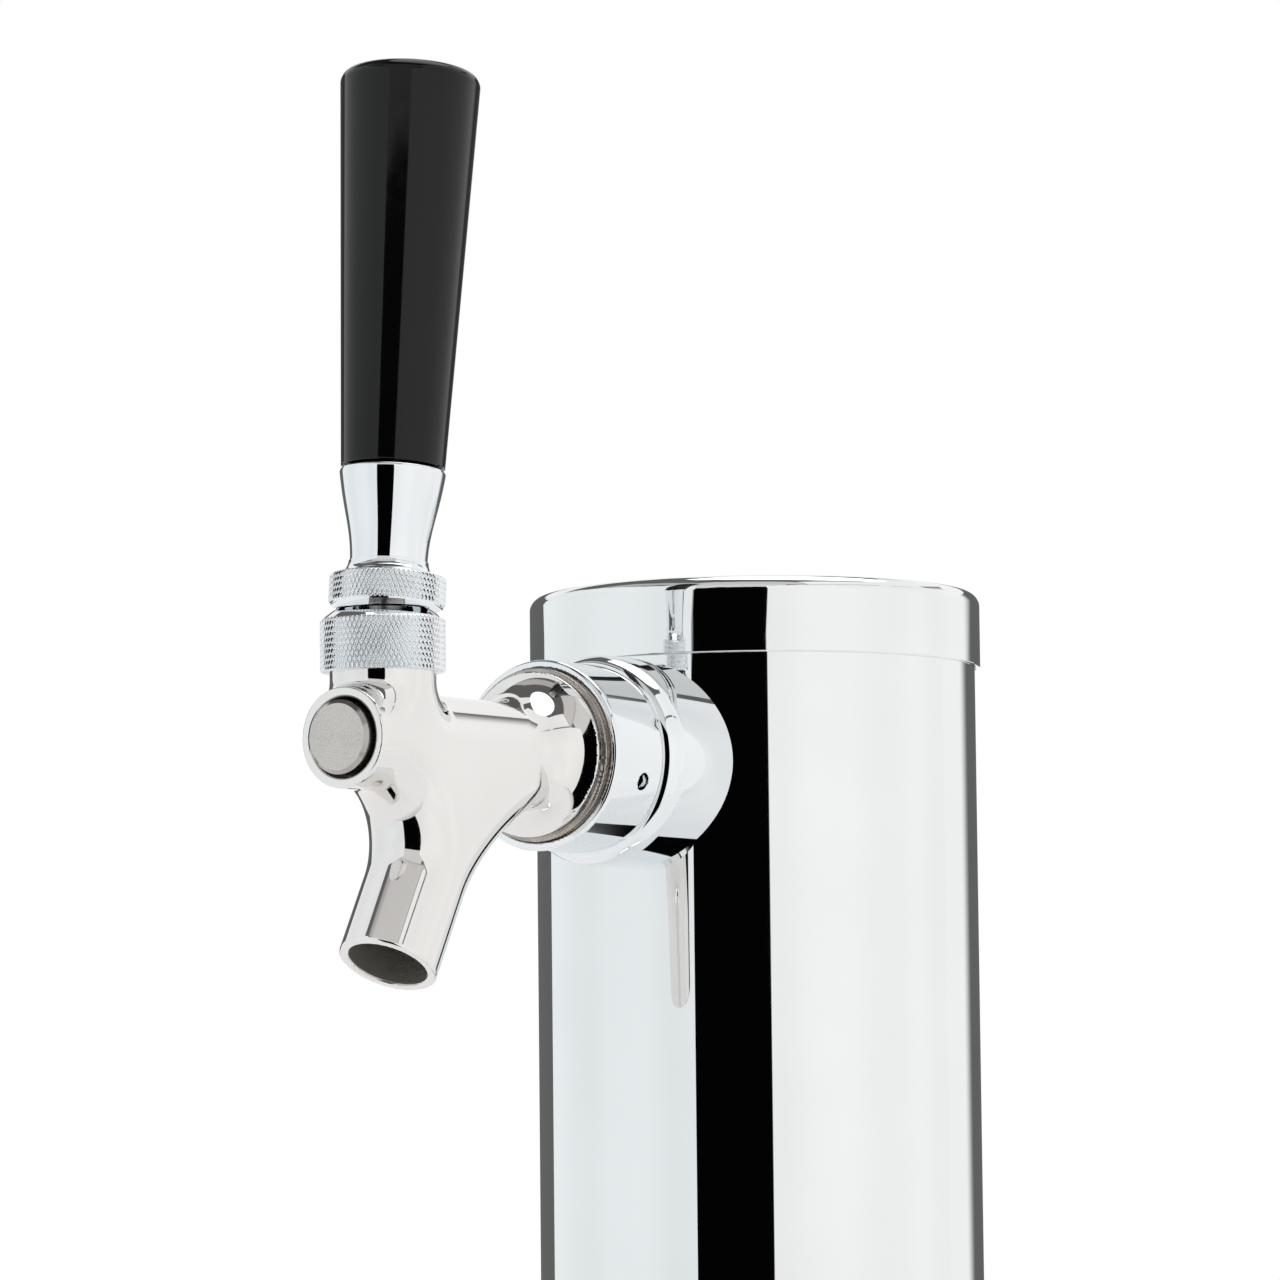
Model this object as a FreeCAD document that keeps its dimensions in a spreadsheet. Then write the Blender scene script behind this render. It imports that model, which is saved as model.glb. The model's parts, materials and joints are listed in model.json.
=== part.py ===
import FreeCAD, Part
import math
import os
import Sketcher

# Single-faucet column draft tower.
# Millimetres, +Z up.  The origin is the centre of the base gasket's underside, on the
# column's axis.  The faucet points along -Y, and the shank's axis is parallel to Y.
# "Reach" is a distance from the column's axis towards the faucet, so y = -reach.
# "Rise" is a height above the shank's axis.

doc = FreeCAD.newDocument("draft_tower")
sheet = doc.addObject("Spreadsheet::Sheet", "dims")

X_AXIS = FreeCAD.Vector(1, 0, 0)
Y_AXIS = FreeCAD.Vector(0, 1, 0)
Z_AXIS = FreeCAD.Vector(0, 0, 1)


class Size:
    """A number that also knows the sheet expression it comes from."""

    def __init__(self, value, text):
        self.value = float(value)
        self.text = text

    def __add__(self, other):
        other = as_size(other)
        return Size(self.value + other.value, "(%s + %s)" % (self.text, other.text))

    def __sub__(self, other):
        other = as_size(other)
        return Size(self.value - other.value, "(%s - %s)" % (self.text, other.text))

    def __mul__(self, other):
        other = as_size(other)
        return Size(self.value * other.value, "(%s * %s)" % (self.text, other.text))

    def __truediv__(self, other):
        other = as_size(other)
        return Size(self.value / other.value, "(%s / %s)" % (self.text, other.text))

    def __neg__(self):
        return Size(-self.value, "(0 - %s)" % self.text)


def as_size(number):
    return number if isinstance(number, Size) else Size(number, "%.6g" % number)


def sine(angle):
    return Size(math.sin(math.radians(angle.value)), "sin(%s)" % angle.text)


def cosine(angle):
    return Size(math.cos(math.radians(angle.value)), "cos(%s)" % angle.text)


def tangent(angle):
    return Size(math.tan(math.radians(angle.value)), "tan(%s)" % angle.text)


def root(square):
    return Size(math.sqrt(square.value), "sqrt(%s)" % square.text)


def dim(alias, value):
    """Put one driving dimension in the sheet and return it."""
    dim.row += 1
    cell = "B%d" % dim.row
    sheet.set("A%d" % dim.row, alias)
    sheet.set(cell, "%.6g" % value)
    sheet.setAlias(cell, alias)
    return Size(value, "dims.%s" % alias)


dim.row = 0

# ---------------------------------------------------------------- driving dimensions
# column, base and cap
tower_height = dim("tower_height", 340.0)
column_radius = dim("column_radius", 38.1)
column_wall = dim("column_wall", 1.2)
gasket_thick = dim("gasket_thick", 2.0)
flange_radius = dim("flange_radius", 54.0)
flange_thick = dim("flange_thick", 3.5)
flange_hub_height = dim("flange_hub_height", 9.0)
flange_hub_wall = dim("flange_hub_wall", 2.4)
flange_edge_round = dim("flange_edge_round", 2.0)
screw_circle_radius = dim("screw_circle_radius", 46.0)
screw_hole_radius = dim("screw_hole_radius", 2.8)
screw_start_angle = dim("screw_start_angle", 45.0)
cap_radius = dim("cap_radius", 39.05)
cap_height = dim("cap_height", 13.0)
cap_wall = dim("cap_wall", 0.9)
cap_edge_round = dim("cap_edge_round", 2.5)
cap_gap = dim("cap_gap", 1.7)
cap_ring_wall = dim("cap_ring_wall", 3.0)
cap_ring_height = dim("cap_ring_height", 9.0)
slip_fit = dim("slip_fit", 0.05)
hole_play = dim("hole_play", 0.15)
tool_margin = dim("tool_margin", 5.0)

# shank, its sleeve and its nuts
shank_drop = dim("shank_drop", 31.1)
shank_radius = dim("shank_radius", 11.1)
shank_bore = dim("shank_bore", 3.2)
shank_mouth_radius = dim("shank_mouth_radius", 6.4)
shank_mouth_depth = dim("shank_mouth_depth", 7.0)
shank_front_reach = dim("shank_front_reach", 57.3)
shank_rear_reach = dim("shank_rear_reach", 18.0)
shank_head_radius = dim("shank_head_radius", 13.9)
shank_head_thick = dim("shank_head_thick", 3.1)
nut_radius = dim("nut_radius", 15.75)
nut_front_reach = dim("nut_front_reach", 65.0)
nut_rear_reach = dim("nut_rear_reach", 51.3)
nut_lip_thick = dim("nut_lip_thick", 2.8)
nut_thread_radius = dim("nut_thread_radius", 14.4)
nut_edge_bevel = dim("nut_edge_bevel", 0.35)
spanner_hole_radius = dim("spanner_hole_radius", 1.45)
spanner_hole_setback = dim("spanner_hole_setback", 5.1)
spanner_hole_angle = dim("spanner_hole_angle", 17.2)
sleeve_radius = dim("sleeve_radius", 17.6)
sleeve_front_radius = dim("sleeve_front_radius", 15.95)
sleeve_shoulder = dim("sleeve_shoulder", 3.6)
sleeve_shoulder_curve = dim("sleeve_shoulder_curve", 4.86)
saddle_radius = dim("saddle_radius", 16.0)
saddle_rear_reach = dim("saddle_rear_reach", 31.0)
lock_nut_across = dim("lock_nut_across", 30.0)
lock_nut_thick = dim("lock_nut_thick", 6.0)

# beer line inside the column
elbow_radius = dim("elbow_radius", 5.0)
elbow_bore = dim("elbow_bore", 2.2)
elbow_reach = dim("elbow_reach", 4.0)
elbow_spigot = dim("elbow_spigot", 5.0)
elbow_collar_radius = dim("elbow_collar_radius", 8.0)
elbow_collar_thick = dim("elbow_collar_thick", 1.6)
elbow_drop = dim("elbow_drop", 8.0)
barb_length = dim("barb_length", 20.0)
line_bore = dim("line_bore", 3.0)
line_radius = dim("line_radius", 5.55)
line_end_height = dim("line_end_height", 6.0)
seal_thick = dim("seal_thick", 1.0)
clamp_wall = dim("clamp_wall", 0.8)
clamp_height = dim("clamp_height", 6.0)
clamp_drop = dim("clamp_drop", 4.0)
insulation_radius = dim("insulation_radius", 14.0)
insulation_start = dim("insulation_start", 22.0)
insulation_clearance = dim("insulation_clearance", 40.0)

# faucet body
coupling_washer_radius = dim("coupling_washer_radius", 12.4)
faucet_rear_reach = dim("faucet_rear_reach", 58.3)
thread_radius = dim("thread_radius", 14.3)
thread_end_reach = dim("thread_end_reach", 66.3)
bell_radius = dim("bell_radius", 13.6)
bell_rim = dim("bell_rim", 0.9)
bell_curve = dim("bell_curve", 8.0)
barrel_radius = dim("barrel_radius", 8.05)
barrel_bore = dim("barrel_bore", 6.39)
barrel_front_reach = dim("barrel_front_reach", 118.0)
barrel_edge_bevel = dim("barrel_edge_bevel", 0.4)
bell_start_reach = dim("bell_start_reach", 74.9)
seat_reach = dim("seat_reach", 69.5)
seat_thick = dim("seat_thick", 2.5)
seat_bore = dim("seat_bore", 4.6)
tail_bore = dim("tail_bore", 6.6)
spout_radius = dim("spout_radius", 8.0)
spout_bore = dim("spout_bore", 6.42)
spout_tilt = dim("spout_tilt", 29.2)
spout_drop = dim("spout_drop", 35.6)
spout_mouth_reach = dim("spout_mouth_reach", 106.58)
neck_reach = dim("neck_reach", 107.2)
neck_radius = dim("neck_radius", 8.4)
neck_shoulder_rise = dim("neck_shoulder_rise", 5.0)
neck_top_rise = dim("neck_top_rise", 15.0)
neck_bore = dim("neck_bore", 6.65)
ledge_rise = dim("ledge_rise", 7.2)
ledge_bore = dim("ledge_bore", 4.95)

# lever bearing in the neck
ball_rise = dim("ball_rise", 9.0)
ball_radius = dim("ball_radius", 5.2)
ball_clearance = dim("ball_clearance", 0.06)
ball_washer_height = dim("ball_washer_height", 2.2)
friction_washer_rise = dim("friction_washer_rise", 10.2)
friction_washer_height = dim("friction_washer_height", 1.2)
bearing_radius = dim("bearing_radius", 6.6)
bearing_top_rise = dim("bearing_top_rise", 15.2)
bearing_bore_low = dim("bearing_bore_low", 4.75)
bearing_bore_high = dim("bearing_bore_high", 5.5)
bonnet_radius = dim("bonnet_radius", 10.0)
bonnet_low_rise = dim("bonnet_low_rise", 10.8)
bonnet_knurl_rise = dim("bonnet_knurl_rise", 19.3)
bonnet_top_rise = dim("bonnet_top_rise", 21.2)
bonnet_mouth_radius = dim("bonnet_mouth_radius", 7.6)

# lever and handle; "up" values run along the lever from the ball's centre
lever_lean = dim("lever_lean", 4.9)
lever_stem_radius = dim("lever_stem_radius", 2.9)
lever_tail_radius = dim("lever_tail_radius", 2.0)
lever_tip_radius = dim("lever_tip_radius", 2.3)
stud_radius = dim("stud_radius", 4.7)
stud_start_up = dim("stud_start_up", 14.6)
stud_end_up = dim("stud_end_up", 27.0)
collar_radius = dim("collar_radius", 9.35)
collar_low_up = dim("collar_low_up", 12.7)
collar_high_up = dim("collar_high_up", 16.8)
collar_bevel_radius = dim("collar_bevel_radius", 8.55)
collar_bevel_up = dim("collar_bevel_up", 11.75)
collar_flare_radius = dim("collar_flare_radius", 8.9)
collar_hub_radius = dim("collar_hub_radius", 6.4)
collar_hub_up = dim("collar_hub_up", 19.6)
collar_flare_curve = dim("collar_flare_curve", 2.8)
thread_gap = dim("thread_gap", 0.05)
ferrule_top_up = dim("ferrule_top_up", 34.6)
ferrule_low_radius = dim("ferrule_low_radius", 6.2)
ferrule_top_radius = dim("ferrule_top_radius", 8.45)
ferrule_bore_end_up = dim("ferrule_bore_end_up", 28.0)
spigot_radius = dim("spigot_radius", 4.0)
spigot_end_up = dim("spigot_end_up", 50.0)
insert_radius = dim("insert_radius", 6.2)
insert_start_up = dim("insert_start_up", 36.0)
knob_top_radius = dim("knob_top_radius", 11.32)
knob_edge_up = dim("knob_edge_up", 97.9)
knob_crown_radius = dim("knob_crown_radius", 8.4)
knob_top_up = dim("knob_top_up", 100.2)
knob_edge_curve = dim("knob_edge_curve", 3.4)

# valve shaft
land_radius = dim("land_radius", 6.33)
land_front_reach = dim("land_front_reach", 114.5)
land_rear_reach = dim("land_rear_reach", 100.5)
button_radius = dim("button_radius", 5.9)
button_face_radius = dim("button_face_radius", 5.3)
button_bevel = dim("button_bevel", 0.6)
button_reach = dim("button_reach", 119.4)
stem_radius = dim("stem_radius", 2.6)
stem_end_reach = dim("stem_end_reach", 62.5)
stop_radius = dim("stop_radius", 4.0)
stop_thick = dim("stop_thick", 1.0)
seat_washer_radius = dim("seat_washer_radius", 5.9)
seat_washer_thick = dim("seat_washer_thick", 3.0)
shaft_nut_across = dim("shaft_nut_across", 7.0)
shaft_nut_thick = dim("shaft_nut_thick", 2.4)
flat_rise = dim("flat_rise", 3.4)
flat_front_reach = dim("flat_front_reach", 116.2)
slot_half_width = dim("slot_half_width", 2.6)
slot_gap = dim("slot_gap", 0.12)
slot_floor_drop = dim("slot_floor_drop", 3.0)
slot_step_rise = dim("slot_step_rise", 1.2)
slot_top_half_length = dim("slot_top_half_length", 3.5)
doc.recompute()

# places worked out from the driving dimensions
shank_height = tower_height - shank_drop
column_bore = column_radius - column_wall
column_top = tower_height - cap_wall - cap_gap
lever_tail_length = ball_rise / cosine(lever_lean)
ZERO = Size(0.0, "0")
FULL_TURN = 360.0
RIGHT_ANGLE = 90.0
BASE_SCREWS = 4
SPANNER_HOLES = 3
NUT_SIDES = 6


# ---------------------------------------------------------------- building functions
def origin_plane(body, role):
    for feature in body.Origin.OriginFeatures:
        if feature.Role == role:
            return feature
    raise RuntimeError("no origin plane " + role)


def bind_place(item, x=ZERO, y=ZERO, z=ZERO, turn_axis=None, turn=None):
    """Place an object, with each non-zero value tied to the sheet."""
    if turn_axis is not None:
        rotation = FreeCAD.Rotation(turn_axis, as_size(turn).value)
        item.Placement = FreeCAD.Placement(FreeCAD.Vector(0, 0, 0), rotation)
        if isinstance(turn, Size):
            item.setExpression("Placement.Rotation.Angle", turn.text)
    for letter, place in (("x", x), ("y", y), ("z", z)):
        if place.value != 0.0:
            item.setExpression("Placement.Base." + letter, place.text)


def arc_centre(start, end, radius):
    """Centre of the arc from start to end; a negative radius runs clockwise."""
    middle = (start + end) * 0.5
    chord = end - start
    half = chord.Length * 0.5
    lift = math.sqrt(max(radius * radius - half * half, 0.0))
    normal = FreeCAD.Vector(-chord.y, chord.x, 0).normalize()
    return middle + normal * (lift if radius > 0 else -lift)


def draw_profile(sketch, profile):
    """Closed outline of (radius, along) points.  A third entry makes the stretch that
    leads to that point an arc of that radius: positive turns left, negative right."""
    points = [FreeCAD.Vector(item[0].value, item[1].value, 0) for item in profile]
    count = len(profile)
    ends = []
    for index in range(count):
        after = (index + 1) % count
        start, end = points[index], points[after]
        if len(profile[after]) < 3:
            line = sketch.addGeometry(Part.LineSegment(start, end), False)
            ends.append((line, 1, 2))
            continue
        radius = profile[after][2]
        centre = arc_centre(start, end, radius.value)
        first, last = (start, end) if radius.value > 0 else (end, start)
        circle = Part.Circle(centre, Z_AXIS, abs(radius.value))
        arc = Part.ArcOfCircle(circle, circle.parameter(first), circle.parameter(last))
        item = sketch.addGeometry(arc, False)
        ends.append((item, 1, 2) if radius.value > 0 else (item, 2, 1))
        size = radius if radius.value > 0 else -radius
        number = sketch.addConstraint(Sketcher.Constraint("Radius", item, size.value))
        sketch.setExpression("Constraints[%d]" % number, size.text)
    for index in range(count):
        before = ends[index - 1]
        here = ends[index]
        sketch.addConstraint(Sketcher.Constraint("Coincident", before[0], before[2], here[0], here[1]))
        across, along = profile[index][:2]
        for kind, size, axis in (("DistanceX", across, -2), ("DistanceY", along, -1)):
            if size.value == 0.0:
                sketch.addConstraint(Sketcher.Constraint("PointOnObject", here[0], here[1], axis))
                continue
            rule = Sketcher.Constraint(kind, -1, 1, here[0], here[1], size.value)
            number = sketch.addConstraint(rule)
            sketch.setExpression("Constraints[%d]" % number, size.text)


def turned(name, plane, profile):
    """A lathe-turned piece.  On XZ_Plane it turns about Z, on XY_Plane about Y."""
    body = doc.addObject("PartDesign::Body", name)
    sketch = body.newObject("Sketcher::SketchObject", name + "_outline")
    sketch.AttachmentSupport = [(origin_plane(body, plane), "")]
    sketch.MapMode = "FlatFace"
    draw_profile(sketch, profile)
    turn = body.newObject("PartDesign::Revolution", name + "_turn")
    turn.Profile = sketch
    turn.ReferenceAxis = (sketch, ["V_Axis"])
    turn.Angle = FULL_TURN
    body.Tip = turn
    doc.recompute()
    return body


def ring(outer, inner, low, high):
    return [(inner, low), (outer, low), (outer, high), (inner, high)]


def along_shank(name, profile):
    """A piece turned about the shank's axis, from (radius, reach) points."""
    mirrored = []
    for item in profile:
        turned_item = (item[0], -item[1])
        if len(item) > 2:
            turned_item = (item[0], -item[1], -item[2])
        mirrored.append(turned_item)
    body = turned(name, "XY_Plane", mirrored)
    bind_place(body, z=shank_height)
    return body


def on_neck(name, profile):
    """A piece turned about the neck's upright axis, from (radius, rise) points."""
    body = turned(name, "XZ_Plane", profile)
    bind_place(body, y=-neck_reach, z=shank_height)
    return body


def on_lever(name, profile):
    """A piece turned about the leaning lever, from (radius, up) points."""
    body = turned(name, "XZ_Plane", profile)
    ball_height = shank_height + ball_rise
    bind_place(body, y=-neck_reach, z=ball_height, turn_axis=-X_AXIS, turn=lever_lean)
    return body


def rod(name, radius, length, x=ZERO, y=ZERO, z=ZERO, turn_axis=None, turn=None):
    item = doc.addObject("Part::Cylinder", name)
    item.setExpression("Radius", radius.text)
    item.setExpression("Height", length.text)
    bind_place(item, x, y, z, turn_axis, turn)
    return item


def rod_forward(name, radius, length, reach=ZERO):
    """A rod on the shank's axis, from this reach towards the faucet."""
    return rod(name, radius, length, y=-reach, z=shank_height, turn_axis=X_AXIS, turn=RIGHT_ANGLE)


def block(name, length, width, height, x, y, z):
    item = doc.addObject("Part::Box", name)
    item.setExpression("Length", length.text)
    item.setExpression("Width", width.text)
    item.setExpression("Height", height.text)
    bind_place(item, x, y, z)
    return item


def hexagon(name, across, thick, reach):
    """A six-sided nut blank about the shank's axis, from reach towards the column."""
    item = doc.addObject("Part::Prism", name)
    item.Polygon = NUT_SIDES
    corner = across / cosine(as_size(FULL_TURN / 2 / NUT_SIDES)) / 2
    item.setExpression("Circumradius", corner.text)
    item.setExpression("Height", thick.text)
    bind_place(item, y=-reach, z=shank_height, turn_axis=-X_AXIS, turn=RIGHT_ANGLE)
    return item


def joined(name, pieces):
    item = doc.addObject("Part::MultiFuse", name)
    item.Shapes = pieces
    item.Refine = True
    doc.recompute()
    return item


def cut(name, base, tools):
    """The base with every tool taken away, one cut for each tool."""
    for index, tool in enumerate(tools):
        last = index == len(tools) - 1
        item = doc.addObject("Part::Cut", name if last else "%s_cut_%d" % (name, index))
        item.Base = base
        item.Tool = tool
        item.Refine = True
        doc.recompute()
        if item.Shape.Volume >= base.Shape.Volume:
            raise RuntimeError("%s: %s cuts nothing" % (name, tool.Name))
        base = item
    return base


def base_screw_holes(name, length, z):
    """Upright rods spaced evenly on the base's screw circle, as one tool."""
    rods = []
    for index in range(BASE_SCREWS):
        angle = screw_start_angle + as_size(FULL_TURN * index / BASE_SCREWS)
        x = screw_circle_radius * cosine(angle)
        y = screw_circle_radius * sine(angle)
        rods.append(rod("%s_%d" % (name, index), screw_hole_radius, length, x, y, z))
    return joined(name, rods)


# ---------------------------------------------------------------- column, base and cap
def make_base_gasket():
    profile = ring(flange_radius, column_bore, ZERO, gasket_thick)
    blank = turned("base_gasket_blank", "XZ_Plane", profile)
    holes = base_screw_holes("gasket_holes", gasket_thick + tool_margin * 2, -tool_margin)
    return cut("base_gasket", blank, [holes])


def make_base_flange():
    top = gasket_thick + flange_thick
    hub = column_radius + flange_hub_wall
    hub_top = gasket_thick + flange_hub_height
    hub_root = hub + flange_hub_wall
    profile = [
        (column_radius, gasket_thick),
        (flange_radius, gasket_thick),
        (flange_radius, top - flange_edge_round),
        (flange_radius - flange_edge_round, top, flange_edge_round),
        (hub_root, top),
        (hub, top + flange_hub_wall, -flange_hub_wall),
        (hub, hub_top - flange_hub_wall / 2),
        (hub - flange_hub_wall / 2, hub_top, flange_hub_wall / 2),
        (column_radius, hub_top),
    ]
    blank = turned("base_flange_blank", "XZ_Plane", profile)
    depth = flange_thick + tool_margin * 2
    holes = base_screw_holes("flange_holes", depth, gasket_thick - tool_margin)
    return cut("base_flange", blank, [holes])


def make_column_tube():
    profile = ring(column_radius, column_bore, gasket_thick, column_top)
    blank = turned("column_tube_blank", "XZ_Plane", profile)
    hole = rod_forward("shank_hole", shank_radius + hole_play, column_radius + tool_margin)
    return cut("column_tube", blank, [hole])


def make_cap():
    skirt_bore = column_radius + slip_fit
    low = tower_height - cap_height
    inner_round = cap_edge_round - cap_wall
    profile = [
        (ZERO, tower_height - cap_wall),
        (skirt_bore - inner_round, tower_height - cap_wall),
        (skirt_bore, tower_height - cap_edge_round, -inner_round),
        (skirt_bore, low),
        (cap_radius, low),
        (cap_radius, tower_height - cap_edge_round),
        (cap_radius - cap_edge_round, tower_height, cap_edge_round),
        (ZERO, tower_height),
    ]
    return turned("cap", "XZ_Plane", profile)


def make_cap_ring():
    outer = column_bore - slip_fit
    high = tower_height - cap_wall - slip_fit
    profile = ring(outer, outer - cap_ring_wall, high - cap_ring_height, high)
    return turned("cap_ring", "XZ_Plane", profile)


# ---------------------------------------------------------------- shank group
def make_shank():
    head_rear = shank_front_reach - shank_head_thick
    mouth = shank_front_reach - shank_mouth_depth
    socket = elbow_radius + slip_fit
    socket_front = shank_rear_reach + elbow_spigot
    profile = [
        (socket, shank_rear_reach),
        (shank_radius, shank_rear_reach),
        (shank_radius, head_rear),
        (shank_head_radius, head_rear),
        (shank_head_radius, shank_front_reach),
        (shank_mouth_radius, shank_front_reach),
        (shank_mouth_radius, mouth),
        (shank_bore, mouth - (shank_mouth_radius - shank_bore)),
        (shank_bore, socket_front),
        (socket, socket_front),
    ]
    return along_shank("shank", profile)


def make_coupling_nut():
    lip_front = nut_rear_reach + nut_lip_thick
    profile = [
        (shank_radius + slip_fit, nut_rear_reach),
        (nut_radius - nut_edge_bevel, nut_rear_reach),
        (nut_radius, nut_rear_reach + nut_edge_bevel),
        (nut_radius, nut_front_reach - nut_edge_bevel),
        (nut_radius - nut_edge_bevel, nut_front_reach),
        (nut_thread_radius, nut_front_reach),
        (nut_thread_radius, lip_front),
        (shank_radius + slip_fit, lip_front),
    ]
    blank = along_shank("coupling_nut_blank", profile)
    reach = nut_rear_reach + spanner_hole_setback
    holes = []
    for index in range(SPANNER_HOLES):
        turn = spanner_hole_angle + as_size(RIGHT_ANGLE + FULL_TURN * index / SPANNER_HOLES)
        holes.append(rod("spanner_hole_%d" % index, spanner_hole_radius, nut_radius + tool_margin,
                         y=-reach, z=shank_height, turn_axis=Y_AXIS, turn=turn))
    return cut("coupling_nut", blank, [joined("spanner_holes", holes)])


def make_shank_sleeve():
    profile = [
        (shank_radius + slip_fit, saddle_rear_reach),
        (sleeve_radius, saddle_rear_reach),
        (sleeve_radius, nut_rear_reach - slip_fit - sleeve_shoulder),
        (sleeve_front_radius, nut_rear_reach - slip_fit, -sleeve_shoulder_curve),
        (shank_radius + slip_fit, nut_rear_reach - slip_fit),
    ]
    blank = along_shank("shank_sleeve_blank", profile)
    column = rod("sleeve_column_tool", column_radius, tower_height)
    return cut("shank_sleeve", blank, [column])


def make_inner_saddle():
    profile = ring(saddle_radius, shank_radius + slip_fit, saddle_rear_reach, column_radius)
    blank = along_shank("inner_saddle_blank", profile)
    room = rod("saddle_column_room", column_bore, tower_height)
    item = doc.addObject("Part::MultiCommon", "inner_saddle")
    item.Shapes = [blank, room]
    doc.recompute()
    return item


def make_shank_lock_nut():
    blank = hexagon("shank_lock_nut_blank", lock_nut_across, lock_nut_thick, saddle_rear_reach)
    bore = rod_forward("lock_nut_bore", shank_radius + slip_fit, column_radius)
    return cut("shank_lock_nut", blank, [bore])


# ---------------------------------------------------------------- beer line
def make_elbow():
    spigot_front = shank_rear_reach + elbow_spigot - slip_fit
    collar_front = shank_rear_reach - seal_thick
    run = spigot_front - elbow_reach
    arm = rod_forward("elbow_arm", elbow_radius, run, elbow_reach)
    collar_rear = collar_front - elbow_collar_thick
    collar = rod_forward("elbow_collar", elbow_collar_radius, elbow_collar_thick, collar_rear)
    corner = doc.addObject("Part::Sphere", "elbow_corner")
    corner.setExpression("Radius", elbow_radius.text)
    bind_place(corner, y=-elbow_reach, z=shank_height)
    leg = rod("elbow_leg", elbow_radius, elbow_drop, y=-elbow_reach, z=shank_height - elbow_drop)
    barb_low = shank_height - elbow_drop - barb_length
    barb = rod("elbow_barb", line_bore, barb_length, y=-elbow_reach, z=barb_low)
    solid = joined("elbow_solid", [arm, collar, corner, leg, barb])
    bore_in = rod_forward("elbow_bore_in", elbow_bore, run + tool_margin, elbow_reach)
    down = elbow_drop + barb_length
    bore_down = rod("elbow_bore_down", elbow_bore, down, y=-elbow_reach, z=barb_low)
    bore_end = doc.addObject("Part::Sphere", "elbow_bore_end")
    bore_end.setExpression("Radius", elbow_bore.text)
    bind_place(bore_end, y=-elbow_reach, z=shank_height)
    return cut("elbow", solid, [joined("elbow_bores", [bore_in, bore_down, bore_end])])


def make_elbow_seal():
    bore = elbow_radius + slip_fit
    seal_rear = shank_rear_reach - seal_thick
    profile = ring(elbow_collar_radius, bore, seal_rear, shank_rear_reach)
    return along_shank("elbow_seal", profile)


def down_line(name, profile):
    body = turned(name, "XZ_Plane", profile)
    bind_place(body, y=-elbow_reach)
    return body


def make_beer_line():
    high = shank_height - elbow_drop
    return down_line("beer_line", ring(line_radius, line_bore, line_end_height, high))


def make_line_clamp():
    high = shank_height - elbow_drop - clamp_drop
    profile = ring(line_radius + clamp_wall, line_radius, high - clamp_height, high)
    return down_line("line_clamp", profile)


def make_line_insulation():
    high = shank_height - insulation_clearance
    profile = ring(insulation_radius, line_radius + slip_fit, insulation_start, high)
    return down_line("line_insulation", profile)


# ---------------------------------------------------------------- faucet body
def make_faucet_body():
    rim_rear = thread_end_reach + bell_rim
    profile = [
        (ZERO, barrel_front_reach),
        (barrel_radius - barrel_edge_bevel, barrel_front_reach),
        (barrel_radius, barrel_front_reach - barrel_edge_bevel),
        (barrel_radius, bell_start_reach),
        (bell_radius, rim_rear, bell_curve),
        (bell_radius, thread_end_reach),
        (thread_radius, thread_end_reach),
        (thread_radius, faucet_rear_reach),
        (ZERO, faucet_rear_reach),
    ]
    barrel = along_shank("faucet_barrel", list(reversed_profile(profile)))
    neck = on_neck("faucet_neck", [
        (ZERO, ZERO),
        (barrel_radius, ZERO),
        (neck_radius, neck_shoulder_rise),
        (neck_radius, neck_top_rise),
        (ZERO, neck_top_rise),
    ])
    spout_length = spout_drop / cosine(spout_tilt)
    spout_top_reach = spout_mouth_reach - spout_drop * tangent(spout_tilt)
    steep = as_size(FULL_TURN / 2) - spout_tilt
    spout = rod("faucet_spout", spout_radius, spout_length,
                y=-spout_top_reach, z=shank_height, turn_axis=X_AXIS, turn=steep)
    solid = joined("faucet_solid", [barrel, neck, spout])
    rear_bore = along_shank("faucet_rear_bore", [
        (ZERO, faucet_rear_reach - bell_rim),
        (tail_bore, faucet_rear_reach - bell_rim),
        (tail_bore, seat_reach),
        (seat_bore, seat_reach),
        (seat_bore, seat_reach + seat_thick),
        (barrel_bore, seat_reach + seat_thick),
        (barrel_bore, barrel_front_reach + barrel_edge_bevel),
        (ZERO, barrel_front_reach + barrel_edge_bevel),
    ])
    neck_hole = on_neck("faucet_neck_bore", [
        (ZERO, ZERO),
        (ledge_bore, ZERO),
        (ledge_bore, ledge_rise),
        (neck_bore, ledge_rise),
        (neck_bore, neck_top_rise + barrel_edge_bevel),
        (ZERO, neck_top_rise + barrel_edge_bevel),
    ])
    spout_hole = rod("faucet_spout_bore", spout_bore, spout_length + tool_margin,
                     y=-spout_top_reach, z=shank_height, turn_axis=X_AXIS, turn=steep)
    return cut("faucet_body", solid, [rear_bore, neck_hole, spout_hole])


def reversed_profile(profile):
    """The same outline walked the other way, with each arc kept on its own stretch."""
    count = len(profile)
    for index in range(count - 1, -1, -1):
        item = profile[index]
        follower = profile[(index + 1) % count]
        if len(follower) > 2:
            yield (item[0], item[1], -follower[2])
        else:
            yield (item[0], item[1])


def make_coupling_washer():
    profile = ring(coupling_washer_radius, shank_mouth_radius, shank_front_reach, faucet_rear_reach)
    return along_shank("coupling_washer", profile)


# ---------------------------------------------------------------- bearing in the neck
def ball_room(rise):
    """Radius that clears the ball at this rise above the shank's axis."""
    reach = ball_radius + ball_clearance
    offset = rise - ball_rise
    return root(reach * reach - offset * offset)


def make_ball_washer():
    high = ledge_rise + ball_washer_height
    middle = ball_rise - (ball_rise - ledge_rise) / 2
    return on_neck("ball_washer", [
        (ball_room(ledge_rise), ledge_rise),
        (bearing_radius, ledge_rise),
        (bearing_radius, high),
        (ball_radius + ball_clearance, high),
        (ball_radius + ball_clearance, ball_rise),
        (ball_room(middle) + ball_clearance, middle),
    ])


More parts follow.
